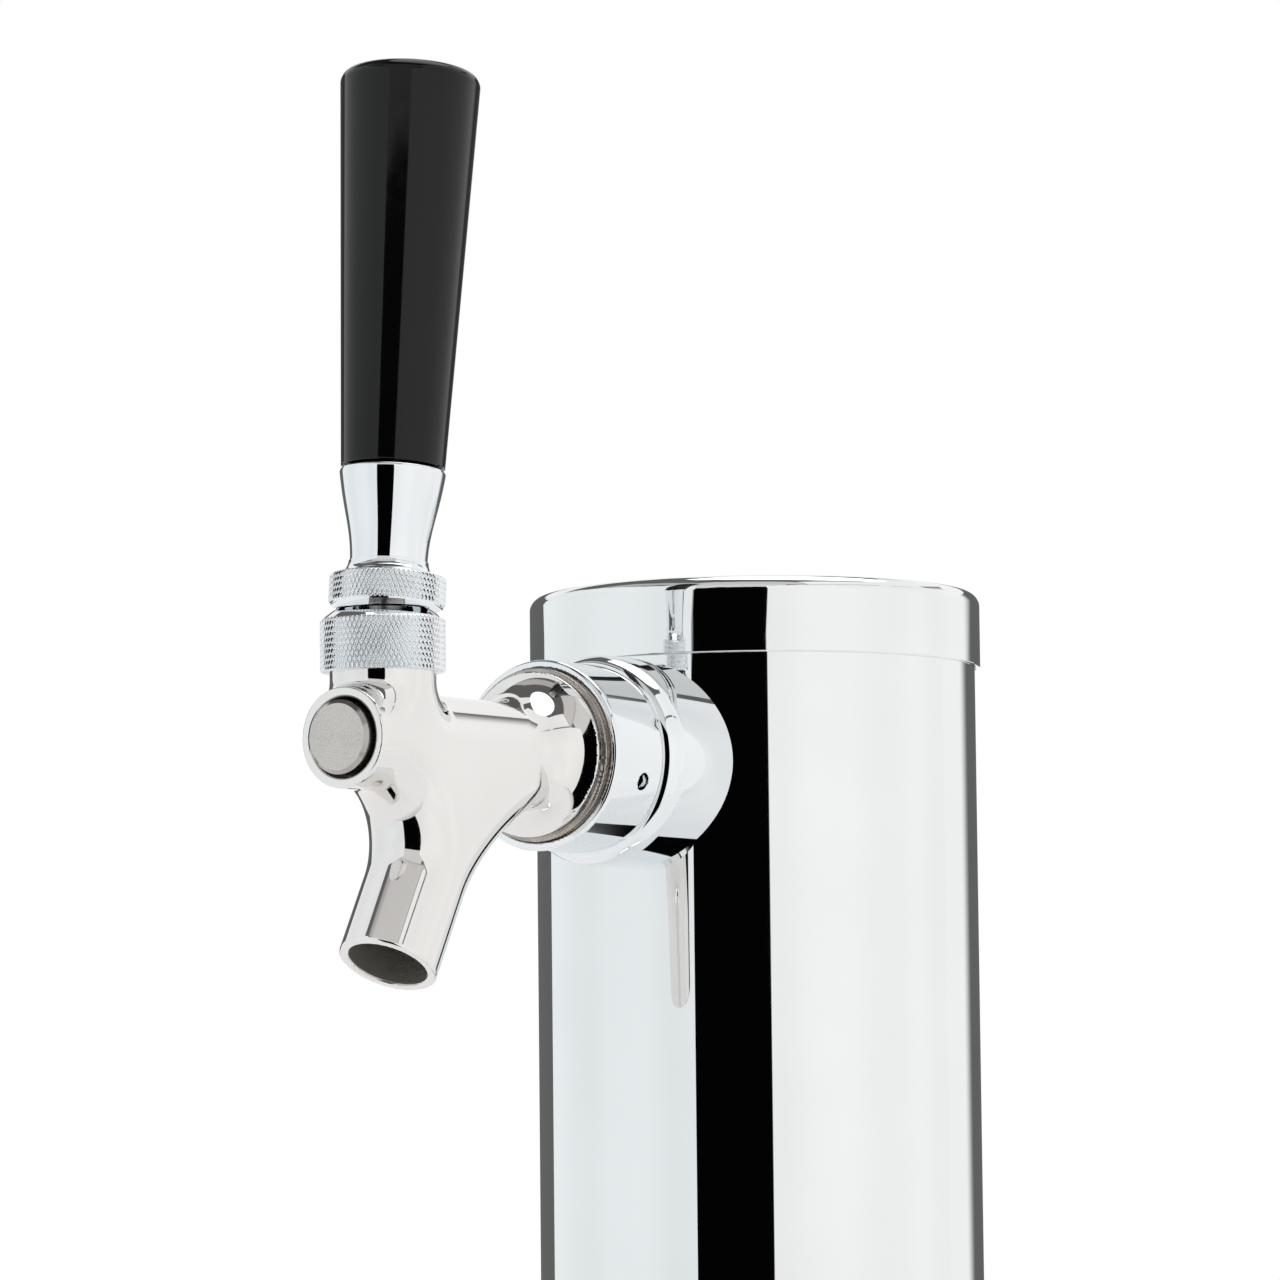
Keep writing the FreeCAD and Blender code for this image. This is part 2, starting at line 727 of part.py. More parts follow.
def make_friction_washer():
    low = friction_washer_rise
    high = low + friction_washer_height
    return on_neck("friction_washer", [
        (ball_room(low) + ball_clearance / 2, low),
        (bearing_radius, low),
        (bearing_radius, high),
        (ball_room(high) + ball_clearance / 2, high),
    ])


def make_bearing_cup():
    low = friction_washer_rise + friction_washer_height
    return on_neck("bearing_cup", [
        (bearing_bore_low, low),
        (bearing_radius, low),
        (bearing_radius, bearing_top_rise),
        (bearing_bore_high, bearing_top_rise),
    ])


def make_bonnet():
    thread = neck_radius + thread_gap
    dome = ball_to_point(bonnet_radius, bonnet_knurl_rise)
    return on_neck("bonnet", [
        (thread, bonnet_low_rise),
        (bonnet_radius, bonnet_low_rise),
        (bonnet_radius, bonnet_knurl_rise),
        (bonnet_mouth_radius, bonnet_top_rise, dome),
        (bearing_bore_high, bearing_top_rise),
        (thread, bearing_top_rise),
    ])


def ball_to_point(radius, rise):
    """Distance from the ball's centre to a ring of this radius at this rise."""
    offset = rise - ball_rise
    return root(radius * radius + offset * offset)


# ---------------------------------------------------------------- lever and handle
def make_ball_lever():
    ball_square = ball_radius * ball_radius
    tail_square = lever_tail_radius * lever_tail_radius
    tail_side = root(ball_square - tail_square)
    stem_side = root(ball_square - lever_stem_radius * lever_stem_radius)
    tip_side = root(lever_tip_radius * lever_tip_radius - tail_square)
    return on_lever("ball_lever", [
        (ZERO, -(lever_tail_length + lever_tip_radius)),
        (lever_tail_radius, -(lever_tail_length - tip_side), lever_tip_radius),
        (lever_tail_radius, -tail_side),
        (lever_stem_radius, stem_side, ball_radius),
        (lever_stem_radius, stud_start_up),
        (stud_radius, stud_start_up),
        (stud_radius, stud_end_up),
        (ZERO, stud_end_up),
    ])


def make_lever_collar():
    bore = stud_radius + thread_gap
    dish = root(collar_bevel_radius * collar_bevel_radius + collar_bevel_up * collar_bevel_up)
    dish_up = root(dish * dish - bore * bore)
    return on_lever("lever_collar", [
        (bore, dish_up),
        (collar_bevel_radius, collar_bevel_up, -dish),
        (collar_radius, collar_low_up),
        (collar_radius, collar_high_up),
        (collar_flare_radius, collar_high_up),
        (collar_hub_radius, collar_hub_up, -collar_flare_curve),
        (bore, collar_hub_up),
    ])


def make_handle_ferrule():
    bore = stud_radius + thread_gap
    low = collar_hub_up + thread_gap
    return on_lever("handle_ferrule", [
        (bore, low),
        (ferrule_low_radius, low),
        (ferrule_top_radius, ferrule_top_up),
        (spigot_radius, ferrule_top_up),
        (spigot_radius, spigot_end_up),
        (ZERO, spigot_end_up),
        (ZERO, ferrule_bore_end_up),
        (bore, ferrule_bore_end_up),
    ])


def make_knob_insert():
    return on_lever("knob_insert", ring(insert_radius, spigot_radius, insert_start_up, spigot_end_up))


def make_handle_knob():
    return on_lever("handle_knob", [
        (spigot_radius, ferrule_top_up),
        (ferrule_top_radius, ferrule_top_up),
        (knob_top_radius, knob_edge_up),
        (knob_crown_radius, knob_top_up, knob_edge_curve),
        (ZERO, knob_top_up),
        (ZERO, spigot_end_up),
        (insert_radius, spigot_end_up),
        (insert_radius, insert_start_up),
        (spigot_radius, insert_start_up),
    ])


# ---------------------------------------------------------------- valve
def make_valve_shaft():
    stop_rear = seat_reach
    profile = [
        (ZERO, stem_end_reach),
        (stem_radius, stem_end_reach),
        (stem_radius, stop_rear),
        (stop_radius, stop_rear),
        (stop_radius, stop_rear + stop_thick),
        (stem_radius, stop_rear + stop_thick + (stop_radius - stem_radius)),
        (stem_radius, land_rear_reach - (land_radius - stem_radius)),
        (land_radius, land_rear_reach),
        (land_radius, land_front_reach),
        (button_radius, land_front_reach + (land_radius - button_radius)),
        (button_radius, button_reach - button_bevel),
        (button_face_radius, button_reach),
        (ZERO, button_reach),
    ]
    blank = along_shank("valve_shaft_blank", profile)
    tip_reach = neck_reach + lever_tail_length * sine(lever_lean)
    flat_rear = land_rear_reach - land_radius
    flat = block("valve_flat", land_radius * 2, flat_front_reach - flat_rear, land_radius,
                 -land_radius, -flat_front_reach, shank_height + flat_rise)
    half = lever_tip_radius + slot_gap
    slot = block("valve_slot", slot_half_width * 2, half * 2, slot_floor_drop + land_radius,
                 -slot_half_width, -(tip_reach + half), shank_height - slot_floor_drop)
    top = block("valve_slot_top", slot_half_width * 2, slot_top_half_length * 2, land_radius,
                -slot_half_width, -(tip_reach + slot_top_half_length), shank_height + slot_step_rise)
    return cut("valve_shaft", blank, [flat, slot, top])


def make_seat_washer():
    rear = seat_reach - seat_washer_thick
    profile = ring(seat_washer_radius, stem_radius, rear, seat_reach - slip_fit)
    return along_shank("seat_washer", profile)


def make_shaft_nut():
    front = seat_reach - seat_washer_thick
    blank = hexagon("shaft_nut_blank", shaft_nut_across, shaft_nut_thick, front)
    bore = rod_forward("shaft_nut_bore", stem_radius, front + tool_margin)
    return cut("shaft_nut", blank, [bore])


MAKERS = {
    "base_gasket": make_base_gasket,
    "base_flange": make_base_flange,
    "column_tube": make_column_tube,
    "cap": make_cap,
    "cap_ring": make_cap_ring,
    "shank": make_shank,
    "coupling_nut": make_coupling_nut,
    "shank_sleeve": make_shank_sleeve,
    "inner_saddle": make_inner_saddle,
    "shank_lock_nut": make_shank_lock_nut,
    "elbow": make_elbow,
    "elbow_seal": make_elbow_seal,
    "beer_line": make_beer_line,
    "line_clamp": make_line_clamp,
    "line_insulation": make_line_insulation,
    "faucet_body": make_faucet_body,
    "coupling_washer": make_coupling_washer,
    "ball_washer": make_ball_washer,
    "friction_washer": make_friction_washer,
    "bearing_cup": make_bearing_cup,
    "bonnet": make_bonnet,
    "ball_lever": make_ball_lever,
    "lever_collar": make_lever_collar,
    "handle_ferrule": make_handle_ferrule,
    "knob_insert": make_knob_insert,
    "handle_knob": make_handle_knob,
    "valve_shaft": make_valve_shaft,
    "seat_washer": make_seat_washer,
    "shaft_nut": make_shaft_nut,
}

nodes = {}
for node_name, make in MAKERS.items():
    nodes[node_name] = make()
    nodes[node_name].Label = node_name
doc.recompute()

# ---------------------------------------------------------------- checks, then export
for item in doc.Objects:
    if "Invalid" in item.State or "Error" in item.State:
        raise RuntimeError("%s failed: %s" % (item.Name, item.State))
for node_name, node in nodes.items():
    shape = node.Shape
    if shape.isNull() or not shape.isValid() or len(shape.Solids) != 1:
        raise RuntimeError("%s has a bad shape" % node_name)

os.makedirs("parts", exist_ok=True)
for node_name, node in nodes.items():
    node.Shape.exportStep("parts/%s.step" % node_name)
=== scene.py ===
import json
import math

import bpy
import numpy as np
from mathutils import Matrix, Vector


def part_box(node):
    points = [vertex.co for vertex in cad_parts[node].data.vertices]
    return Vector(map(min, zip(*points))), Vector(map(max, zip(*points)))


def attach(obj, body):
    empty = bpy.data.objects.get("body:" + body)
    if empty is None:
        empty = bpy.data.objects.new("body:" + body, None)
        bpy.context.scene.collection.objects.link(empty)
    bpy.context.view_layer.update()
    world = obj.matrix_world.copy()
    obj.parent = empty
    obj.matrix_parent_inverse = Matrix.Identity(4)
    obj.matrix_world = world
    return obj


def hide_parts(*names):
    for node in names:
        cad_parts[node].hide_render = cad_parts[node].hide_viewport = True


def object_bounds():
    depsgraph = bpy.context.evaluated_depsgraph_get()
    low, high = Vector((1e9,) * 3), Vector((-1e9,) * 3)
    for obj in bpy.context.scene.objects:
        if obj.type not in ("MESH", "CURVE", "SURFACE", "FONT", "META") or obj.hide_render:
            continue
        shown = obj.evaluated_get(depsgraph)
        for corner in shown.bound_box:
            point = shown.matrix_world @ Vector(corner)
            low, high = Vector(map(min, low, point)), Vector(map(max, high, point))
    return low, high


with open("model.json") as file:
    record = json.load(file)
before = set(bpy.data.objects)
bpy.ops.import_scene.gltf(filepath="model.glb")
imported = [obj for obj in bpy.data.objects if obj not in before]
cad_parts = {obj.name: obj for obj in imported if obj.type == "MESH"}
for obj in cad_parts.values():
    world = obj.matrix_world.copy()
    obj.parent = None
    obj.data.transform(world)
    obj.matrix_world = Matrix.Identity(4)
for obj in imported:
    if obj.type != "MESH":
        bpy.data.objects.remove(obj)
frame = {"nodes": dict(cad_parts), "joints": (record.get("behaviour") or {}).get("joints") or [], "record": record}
CAD_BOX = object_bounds()
MM = 0.001
NET_STEP = 0.28
# Room round a node's box for its net, in millimetres.
NET_MARGIN = 1.2
# Steps that slide a net onto its surface, the half span over which its slope is taken
# and the least squared slope a step divides by.
NET_SLIDES = 4
SLOPE_SPAN = 0.02
LEAST_SLOPE = 0.25

# Landmarks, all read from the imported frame.
JOINTS = {joint["name"]: joint for joint in frame["joints"]}
SHANK_AXIS_Z = sum(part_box("shank")[i].z for i in (0, 1)) / 2
LEVER_PIVOT = Vector(JOINTS["lever_pull"]["pos_m"])


# ------------------------------------------------------------------ mesh building
def mesh_object(name, points, faces, normals=None, sharp_deg=None):
    """A smooth mesh object from points in metres, in the part's frame."""
    mesh = bpy.data.meshes.new(name)
    mesh.from_pydata([tuple(p) for p in points], [], [tuple(f) for f in faces])
    mesh.validate()
    mesh.shade_smooth()
    if normals is not None:
        mesh.normals_split_custom_set_from_vertices([tuple(n) for n in normals])
    elif sharp_deg is not None:
        mesh.set_sharp_from_angle(angle=math.radians(sharp_deg))
    piece = bpy.data.objects.new(name, mesh)
    bpy.context.scene.collection.objects.link(piece)
    return piece


def surface_nets(distance, low, high, step):
    """Points, quads and exact normals of the surface where distance(x, y, z) is zero.
    Works in millimetres.  Points are slid onto the surface along its gradient."""
    counts = [int(math.ceil((high[k] - low[k]) / step)) + 1 for k in range(3)]
    axes = [low[k] + step * np.arange(counts[k]) for k in range(3)]
    field = np.empty(counts, np.float32)
    for i, x in enumerate(axes[0]):
        y, z = np.meshgrid(axes[1], axes[2], indexing="ij")
        field[i] = distance(np.full_like(y, x), y, z)
    inside = field < 0
    corners = [(a, b, c) for a in (0, 1) for b in (0, 1) for c in (0, 1)]
    cells = [n - 1 for n in counts]

    def corner(values, offset):
        return values[tuple(slice(o, o + n) for o, n in zip(offset, cells))]

    votes = sum(corner(inside, o).astype(np.int8) for o in corners)
    active = (votes > 0) & (votes < 8)
    index = np.full(cells, -1, np.int64)
    where = np.argwhere(active)
    index[active] = np.arange(len(where))

    total = np.zeros((len(where), 3))
    hits = np.zeros(len(where))
    for first in corners:
        for k in range(3):
            if first[k]:
                continue
            second = list(first)
            second[k] = 1
            va = corner(field, first)[active].astype(float)
            vb = corner(field, second)[active].astype(float)
            cross = (va < 0) != (vb < 0)
            share = np.where(cross, va / np.where(cross, va - vb, 1.0), 0.0)
            spot = np.array(first, float)[None, :].repeat(len(where), 0)
            spot[:, k] += share
            total[cross] += spot[cross]
            hits += cross
    points = np.array(low) + step * (where + total / hits[:, None])

    def slope(p):
        parts = []
        for k in range(3):
            shift = np.zeros(3)
            shift[k] = SLOPE_SPAN
            ahead, behind = (p + shift).T, (p - shift).T
            parts.append((distance(*ahead) - distance(*behind)) / (2 * SLOPE_SPAN))
        return np.stack(parts, 1)

    for _ in range(NET_SLIDES):
        grad = slope(points)
        size = np.maximum((grad ** 2).sum(1), LEAST_SLOPE)
        move = -(distance(*points.T) / size)[:, None] * grad
        points = points + np.clip(move, -step / 2, step / 2)
    normals = slope(points)
    normals /= np.linalg.norm(normals, axis=1)[:, None]

    quads = []
    for k in range(3):
        b, c = (k + 1) % 3, (k + 2) % 3
        near = [slice(None)] * 3
        far = [slice(None)] * 3
        near[k], far[k] = slice(0, -1), slice(1, None)
        change = inside[tuple(near)] != inside[tuple(far)]
        spots = np.argwhere(change)
        keep = (spots[:, b] > 0) & (spots[:, c] > 0)
        keep &= (spots[:, b] < cells[b]) & (spots[:, c] < cells[c])
        spots = spots[keep]
        starts = inside[tuple(spots.T)]
        ring = []
        for db, dc in ((0, 0), (1, 0), (1, 1), (0, 1)):
            cell = spots.copy()
            cell[:, b] -= db
            cell[:, c] -= dc
            ring.append(index[tuple(cell.T)])
        quad = np.stack(ring, 1)
        quads.append(np.where(starts[:, None], quad, quad[:, ::-1]))
    return points, np.concatenate(quads), normals


def round_union(a, b, radius):
    """Union of two distances with a fillet of this radius."""
    gap_a = np.maximum(radius - a, 0)
    gap_b = np.maximum(radius - b, 0)
    return np.maximum(radius, np.minimum(a, b)) - np.hypot(gap_a, gap_b)


def round_cut(a, b, radius):
    """a with b taken away, and the new edge rounded."""
    over_a = np.maximum(radius + a, 0)
    over_b = np.maximum(radius - b, 0)
    return np.minimum(-radius, np.maximum(a, -b)) + np.hypot(over_a, over_b)


def upright(origin, axis):
    """Matrix that takes a lathe's own +Z to this axis through this origin."""
    turn = Vector((0, 0, 1)).rotation_difference(Vector(axis))
    return Matrix.Translation(origin) @ turn.to_matrix().to_4x4()


# Edges of turned pieces that are sharper than this stay crisp.
SHARP_DEG = 30


def lathe(name, outline, place, segments, knurl=None):
    """A closed turned piece.  The outline is (radius, height) in millimetres, outside
    going up.  knurl(angle, radius, height) is how deep the diamonds cut there."""
    angle = 2 * math.pi * np.arange(segments) / segments
    rows = []
    for radius, height in outline:
        r = np.full(segments, float(radius))
        if knurl is not None:
            r = r - knurl(angle, radius, height)
        level = np.full(segments, float(height))
        rows.append(np.stack([r * np.cos(angle), r * np.sin(angle), level], 1))
    points = np.concatenate(rows) * MM
    points = np.array([place @ Vector(p) for p in points])
    faces = []
    count = len(outline)
    for i in range(count):
        after = (i + 1) % count
        if outline[i][0] == 0 and outline[after][0] == 0:
            continue
        low, high = i * segments, after * segments
        for j in range(segments):
            k = (j + 1) % segments
            faces.append((low + j, low + k, high + k, high + j))
    return mesh_object(name, points, faces, sharp_deg=SHARP_DEG)


def arc(centre, radius, start_deg, end_deg, steps):
    """Outline points on an arc, in millimetres."""
    spots = []
    for i in range(steps + 1):
        a = math.radians(start_deg + (end_deg - start_deg) * i / steps)
        spots.append((centre[0] + radius * math.cos(a), centre[1] + radius * math.sin(a)))
    return spots


def flare(low, high, steps):
    """Concave quarter from a wide low ring to a narrow high one."""
    spots = []
    for i in range(1, steps + 1):
        a = math.pi / 2 * i / steps
        radius = high[0] + (low[0] - high[0]) * (1 - math.sin(a))
        spots.append((radius, high[1] - (high[1] - low[1]) * math.cos(a)))
    return spots


def smooth(value, low, high):
    """0 at low and 1 at high, with a gentle start and end."""
    share = np.clip((value - low) / (high - low), 0, 1)
    return share * share * (3 - 2 * share)


def stand_in(piece, node, body):
    """This piece is what shows for a node of the frame."""
    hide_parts(node)
    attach(piece, body)


def net_points(node, distance):
    """Points, quads and normals of a shape in a node's place.  Its axes are those of the
    frame in millimetres, with z measured from the shank's axis."""
    drop = Vector((0, 0, SHANK_AXIS_Z))
    low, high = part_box(node)
    lows = [v / MM - NET_MARGIN for v in low - drop]
    highs = [v / MM + NET_MARGIN for v in high - drop]
    return surface_nets(distance, lows, highs, NET_STEP)


def net_piece(name, net, looks):
    """The mesh object of a net, with these looks in its slots."""
    points, quads, normals = net
    place = np.array([0, 0, SHANK_AXIS_Z])
    piece = mesh_object(name, points * MM + place, quads, normals)
    for look in looks:
        piece.data.materials.append(look)
    return piece


# ------------------------------------------------------------------ faucet body
# All in millimetres unless an angle in degrees or a share.
BARREL_R = 8.05
BELL_R = 13.6
BELL_TILT = 72
BELL_EASE = 1.8
BELL_STEPS = 200
RIM_LENGTH = 0.9
RIM_TRIM = 2.0
RIM_OVERLAP = 0.3
RIM_ROUND = 0.35
THREAD_R = 14.3
THREAD_LENGTH = 8.0
THREAD_PITCH = 1.41
THREAD_DEPTH = 0.55
THREAD_FLANK = 2.2
THREAD_FLAT = 0.9
THREAD_ROUND = 0.15
THREAD_OVERLAP = 0.4
CORE_INSET = 0.7
NECK_R = 8.4
NECK_FILLET = 1.5
NECK_WIDENS = (2.0, 7.5)
SPOUT_R = 8.0
SPOUT_TILT = math.radians(29.2)
SPOUT_START = 28.4
FILLET_FRONT = 7.8
FILLET_REAR = 33.0
WEB_SHARE = 1.3
WEB_LEAST = 0.05
WEB_SQUARE = 1.0
WEB_BELOW = (1.5, 6.0)
WEB_ALONG = (26.0, 6.0)
WEB_BEHIND = (-3.0, 3.0)
BARREL_BORE = 6.39
SPOUT_BORE = 6.42
NECK_BORE = 6.65
LEDGE_BORE = 4.95
LEDGE_RISE = 7.2
SEAT_DEPTH = 11.2
SEAT_THICK = 2.5
SEAT_BORE = 4.6
TAIL_BORE = 6.6
EDGE_ROUND = 0.55
BORED_WITHIN = 0.12
THREAD_BAND = 0.6
THREAD_PAST = 0.05


def bell_profile():
    """Way back, rise and cosine of the slope along the bell, whose slope starts gently."""
    share = np.linspace(0, 1, BELL_STEPS + 1)
    tilt = math.radians(BELL_TILT) * share ** BELL_EASE
    climb, run = (np.cumsum(np.append(0, (part[1:] + part[:-1]) / 2))
                  for part in (np.sin(tilt), np.cos(tilt)))
    scale = (BELL_R - BARREL_R) / climb[-1]
    return run * scale, climb * scale, np.cos(tilt)


def faucet_shape():
    """Distances of the cast body and of the hollow inside it, and the thread's end.
    Barrel, neck and spout are one flat outline with fillets, rounded to a tube's
    section across x."""
    low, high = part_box("faucet_body")
    front = -low.y / MM
    rear = -high.y / MM
    mouth = (SHANK_AXIS_Z - low.z) / MM
    neck_top = (high.z - SHANK_AXIS_Z) / MM
    neck_reach = -LEVER_PIVOT.y / MM
    thread_end = rear + THREAD_LENGTH
    rim_reach = thread_end + RIM_LENGTH
    spout_start = rear + SPOUT_START
    ahead = (math.cos(SPOUT_TILT), math.sin(SPOUT_TILT))
    down = (math.sin(SPOUT_TILT), -math.cos(SPOUT_TILT))
    spout_end = (mouth - SPOUT_R * math.sin(SPOUT_TILT)) / math.cos(SPOUT_TILT)
    backs, rises, slants = bell_profile()
    bell_start = rim_reach + backs[-1]

    def spout_axes(y, z):
        """Way down the spout from the barrel's axis, and how far ahead of its axis."""
        reach = -y - spout_start
        return reach * down[0] + z * down[1], reach * ahead[0] + z * ahead[1]

    def crotch(side, radius, y, z):
        """Fillet arc between the barrel's underside and the spout's front or rear."""
        centre_z = -BARREL_R - radius
        centre_reach = (side * (SPOUT_R + radius) - centre_z * ahead[1]) / ahead[0]
        centre_along = centre_reach * down[0] + centre_z * down[1]
        reach = -y - spout_start
        along = spout_axes(y, z)[0]
        held = (side * (centre_reach - reach) > 0) & (along < centre_along)
        return np.where(held, radius - np.hypot(reach - centre_reach, z - centre_z), radius)

    def tubes(x, y, z):
        """Barrel, neck and spout with the fillets between them."""
        along, away = spout_axes(y, z)
        barrel = np.abs(z) - BARREL_R
        spout = np.abs(away) - SPOUT_R
        neck = np.abs(-y - neck_reach) - NECK_R
        front_fillet = crotch(1, FILLET_FRONT, y, z)
        rear_fillet = crotch(-1, FILLET_REAR, y, z)
        fillet = np.where(away > 0, front_fillet, rear_fillet)
        under = np.minimum(np.minimum(barrel, spout), fillet)
        over = round_union(barrel, neck, NECK_FILLET)
        outline = np.where(z < 0, under, over)
        wide = 1 + (NECK_R / BARREL_R - 1) * smooth(z, *NECK_WIDENS)
        square = smooth(-z, *WEB_BELOW) * smooth(along, *WEB_ALONG) * smooth(-away, *WEB_BEHIND)
        power = 2 + WEB_SQUARE * square
        side = np.abs(x / wide)
        depth = np.maximum(BARREL_R + outline, 0)
        return (side ** power + depth ** power) ** (1 / power) - BARREL_R

    def bell_rise(reach):
        return np.interp(bell_start - reach, backs, rises)

    def bell(reach, rho):
        slant = np.interp(bell_start - reach, backs, slants)
        return (rho - BARREL_R - bell_rise(reach)) * slant

    def thread(x, z, reach, rho):
        """A worn helical thread, cut off flat at its front end."""
        turn = np.arctan2(z, x) / (2 * math.pi)
        ridge = np.abs(np.mod((thread_end - reach) / THREAD_PITCH + turn, 1.0) * 2 - 1)
        crest = THREAD_R - THREAD_DEPTH * np.clip(ridge * THREAD_FLANK - THREAD_FLAT, 0, 1)
        return round_cut(rho - crest, thread_end - reach, THREAD_ROUND)

    def distance(x, y, z):
        reach = -y
        rho = np.hypot(x, z)
        along = spout_axes(y, z)[0]
        web = WEB_LEAST + WEB_SHARE * bell_rise(reach)
        body = round_union(tubes(x, y, z), bell(reach, rho), web)
        body = np.where(reach < rim_reach + RIM_TRIM, np.maximum(body, rho - BELL_R), body)
        body = round_cut(body, reach - thread_end - RIM_OVERLAP, RIM_ROUND)
        body = round_cut(body, front - reach, EDGE_ROUND)
        body = round_cut(body, np.where(z < 0, spout_end - along, neck_top - z), EDGE_ROUND)
        collar = np.minimum(thread(x, z, reach, rho), rho - BELL_R + CORE_INSET)
        collar = round_cut(collar, reach - rear, RIM_ROUND)
        collar = np.maximum(collar, reach - thread_end - THREAD_OVERLAP)
        return round_cut(np.minimum(body, collar), hollow(x, y, z), EDGE_ROUND)

    def hollow(x, y, z):
        """The barrel's bores in steps, the neck's socket and the spout's pipe."""
        reach = -y
        rho = np.hypot(x, z)
        along, away = spout_axes(y, z)
        seat = rear + SEAT_DEPTH
        behind = np.where(reach > seat, SEAT_BORE, TAIL_BORE)
        bore = np.where(reach > seat + SEAT_THICK, BARREL_BORE, behind)
        across = np.hypot(x, reach - neck_reach)
        socket = np.maximum(across - np.where(z > LEDGE_RISE, NECK_BORE, LEDGE_BORE), -z)
        pipe = np.maximum(np.hypot(x, away) - SPOUT_BORE, -along)
        return np.minimum(np.minimum(rho - bore, socket), pipe)

    return distance, hollow, thread_end


def make_faucet_body(looks):
    """The casting, with its bored and threaded faces in looks of their own."""
    distance, hollow, thread_end = faucet_shape()
    points, quads, normals = net_points("faucet_body", distance)
    x, y, z = points[quads].mean(1).T
    bored = np.abs(hollow(x, y, z)) < BORED_WITHIN
    threaded = (np.hypot(x, z) > BELL_R - THREAD_BAND) & (-y < thread_end + THREAD_PAST)
    finish = np.where(bored, 1, np.where(threaded, 2, 0))
    finishes = [looks[look] for look in ("faucet_stainless", "bored_stainless", "worn_thread")]
    piece = net_piece("faucet_casting", (points, quads, normals), finishes)
    piece.data.polygons.foreach_set("material_index", finish.astype(np.int32))
    stand_in(piece, "faucet_body", "tower")


# ------------------------------------------------------------------ coupling nut and sleeve
NUT_ROUND = 0.7
NUT_HOLE_R = 1.45
NUT_HOLE_SETBACK = 5.1
NUT_HOLES_FROM = -17.2
NUT_BORE = 14.4
NUT_BORE_ROUND = 0.25
NUT_LIP = 2.8
NUT_LIP_BORE = 11.15
NUT_HOLES = 3
NUT_HOLE_ROUND = 0.15


def make_coupling_nut(looks):
    """The round nut with its spanner holes."""
    low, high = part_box("coupling_nut")
    outer = (high.x - low.x) / 2 / MM
    front = -low.y / MM
    rear = -high.y / MM

    def distance(x, y, z):
        reach = -y
        rho = np.hypot(x, z)
        wall = round_cut(rho - outer, front - reach, NUT_ROUND)
        wall = round_cut(wall, reach - rear, NUT_ROUND)
        bore = np.where(reach > rear + NUT_LIP, NUT_BORE, NUT_LIP_BORE)
        wall = round_cut(wall, rho - bore, NUT_BORE_ROUND)
        for index in range(NUT_HOLES):
            a = math.radians(NUT_HOLES_FROM + 360 / NUT_HOLES * index)
            side = z * math.cos(a) - x * math.sin(a)
            out = x * math.cos(a) + z * math.sin(a)
            hole = np.hypot(side, reach - rear - NUT_HOLE_SETBACK) - NUT_HOLE_R
            wall = round_cut(wall, np.maximum(hole, -out), NUT_HOLE_ROUND)
        return wall

    piece = net_piece("coupling_nut_round", net_points("coupling_nut", distance), [looks["chrome"]])
    stand_in(piece, "coupling_nut", "nut")


SLEEVE_R = 17.6
SLEEVE_SHOULDER = 3.65
SLEEVE_SHOULDER_CURVE = 4.86
SLEEVE_FRONT_ROUND = 0.8
SLEEVE_BORE = 11.15
SLEEVE_BORE_ROUND = 0.35
COLUMN_R = 38.1
SLEEVE_SEAT = 0.4
SLEEVE_SEAT_ROUND = 0.15


def make_sleeve(looks):
    """Round sleeve with a curled shoulder, cut to sit on the column."""
    front = -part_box("shank_sleeve")[0].y / MM
    centre = SLEEVE_R - SLEEVE_SHOULDER_CURVE

    def distance(x, y, z):
        reach = -y
        rho = np.hypot(x, z)
        ahead = np.maximum(reach - front + SLEEVE_SHOULDER, 0)
        wall = np.where(rho > centre, np.hypot(rho - centre, ahead), rho - centre)
        wall = round_cut(wall - SLEEVE_SHOULDER_CURVE, front - reach, SLEEVE_FRONT_ROUND)
        wall = round_cut(wall, rho - SLEEVE_BORE, SLEEVE_BORE_ROUND)
        return round_cut(wall, np.hypot(x, y) - COLUMN_R + SLEEVE_SEAT, SLEEVE_SEAT_ROUND)

    piece = net_piece("sleeve_saddled", net_points("shank_sleeve", distance), [looks["chrome"]])
    stand_in(piece, "shank_sleeve", "tower")


# ------------------------------------------------------------------ knurled pieces
KNURL_PITCH = 1.8
KNURL_DEPTH = 0.36
KNURL_ROW = 0.1
KNURL_TOOTH = 12
KNURL_FLANK = 0.62
KNURL_RUN_OUT = 0.35
KNURL_END = 0.9
NEARLY = 1e-6


def diamond_knurl(crest, teeth, low, high):
    """Depth function of a diamond knurl: two sets of crossing grooves."""

    def cut(angle, radius, height):
        if abs(radius - crest) > NEARLY or not low <= height <= high:
            return 0.0
        right = np.mod(angle * teeth / (2 * math.pi) + height / KNURL_PITCH, 1.0)
        left = np.mod(angle * teeth / (2 * math.pi) - height / KNURL_PITCH, 1.0)
        peak = np.minimum(1 - np.abs(right * 2 - 1), 1 - np.abs(left * 2 - 1))
        groove = 1 - np.clip(peak / KNURL_FLANK, 0, 1)
        ends = max(0.0, 1 - min(height - low, high - height) / KNURL_RUN_OUT)
        return KNURL_DEPTH * np.maximum(groove, ends * KNURL_END)

    return cut


def band(radius, low, high):
    """Outline points straight up a knurled band."""
    count = int(round((high - low) / KNURL_ROW))
    return [(radius, low + (high - low) * i / count) for i in range(count + 1)]


BONNET_TEETH = 76
BONNET_KNURL = 8.5
BONNET_BORE = 8.45
BONNET_CHAMFER = (0.5, 0.15)
BONNET_TOP_GAP = 0.1
BONNET_MOUTH_R = 7.6
BONNET_MOUTH_EDGE = (0.15, 0.05)
BONNET_SOCKET_R = 5.5
BONNET_SOCKET_DEPTH = 6.0
BONNET_DOME_STEPS = 14


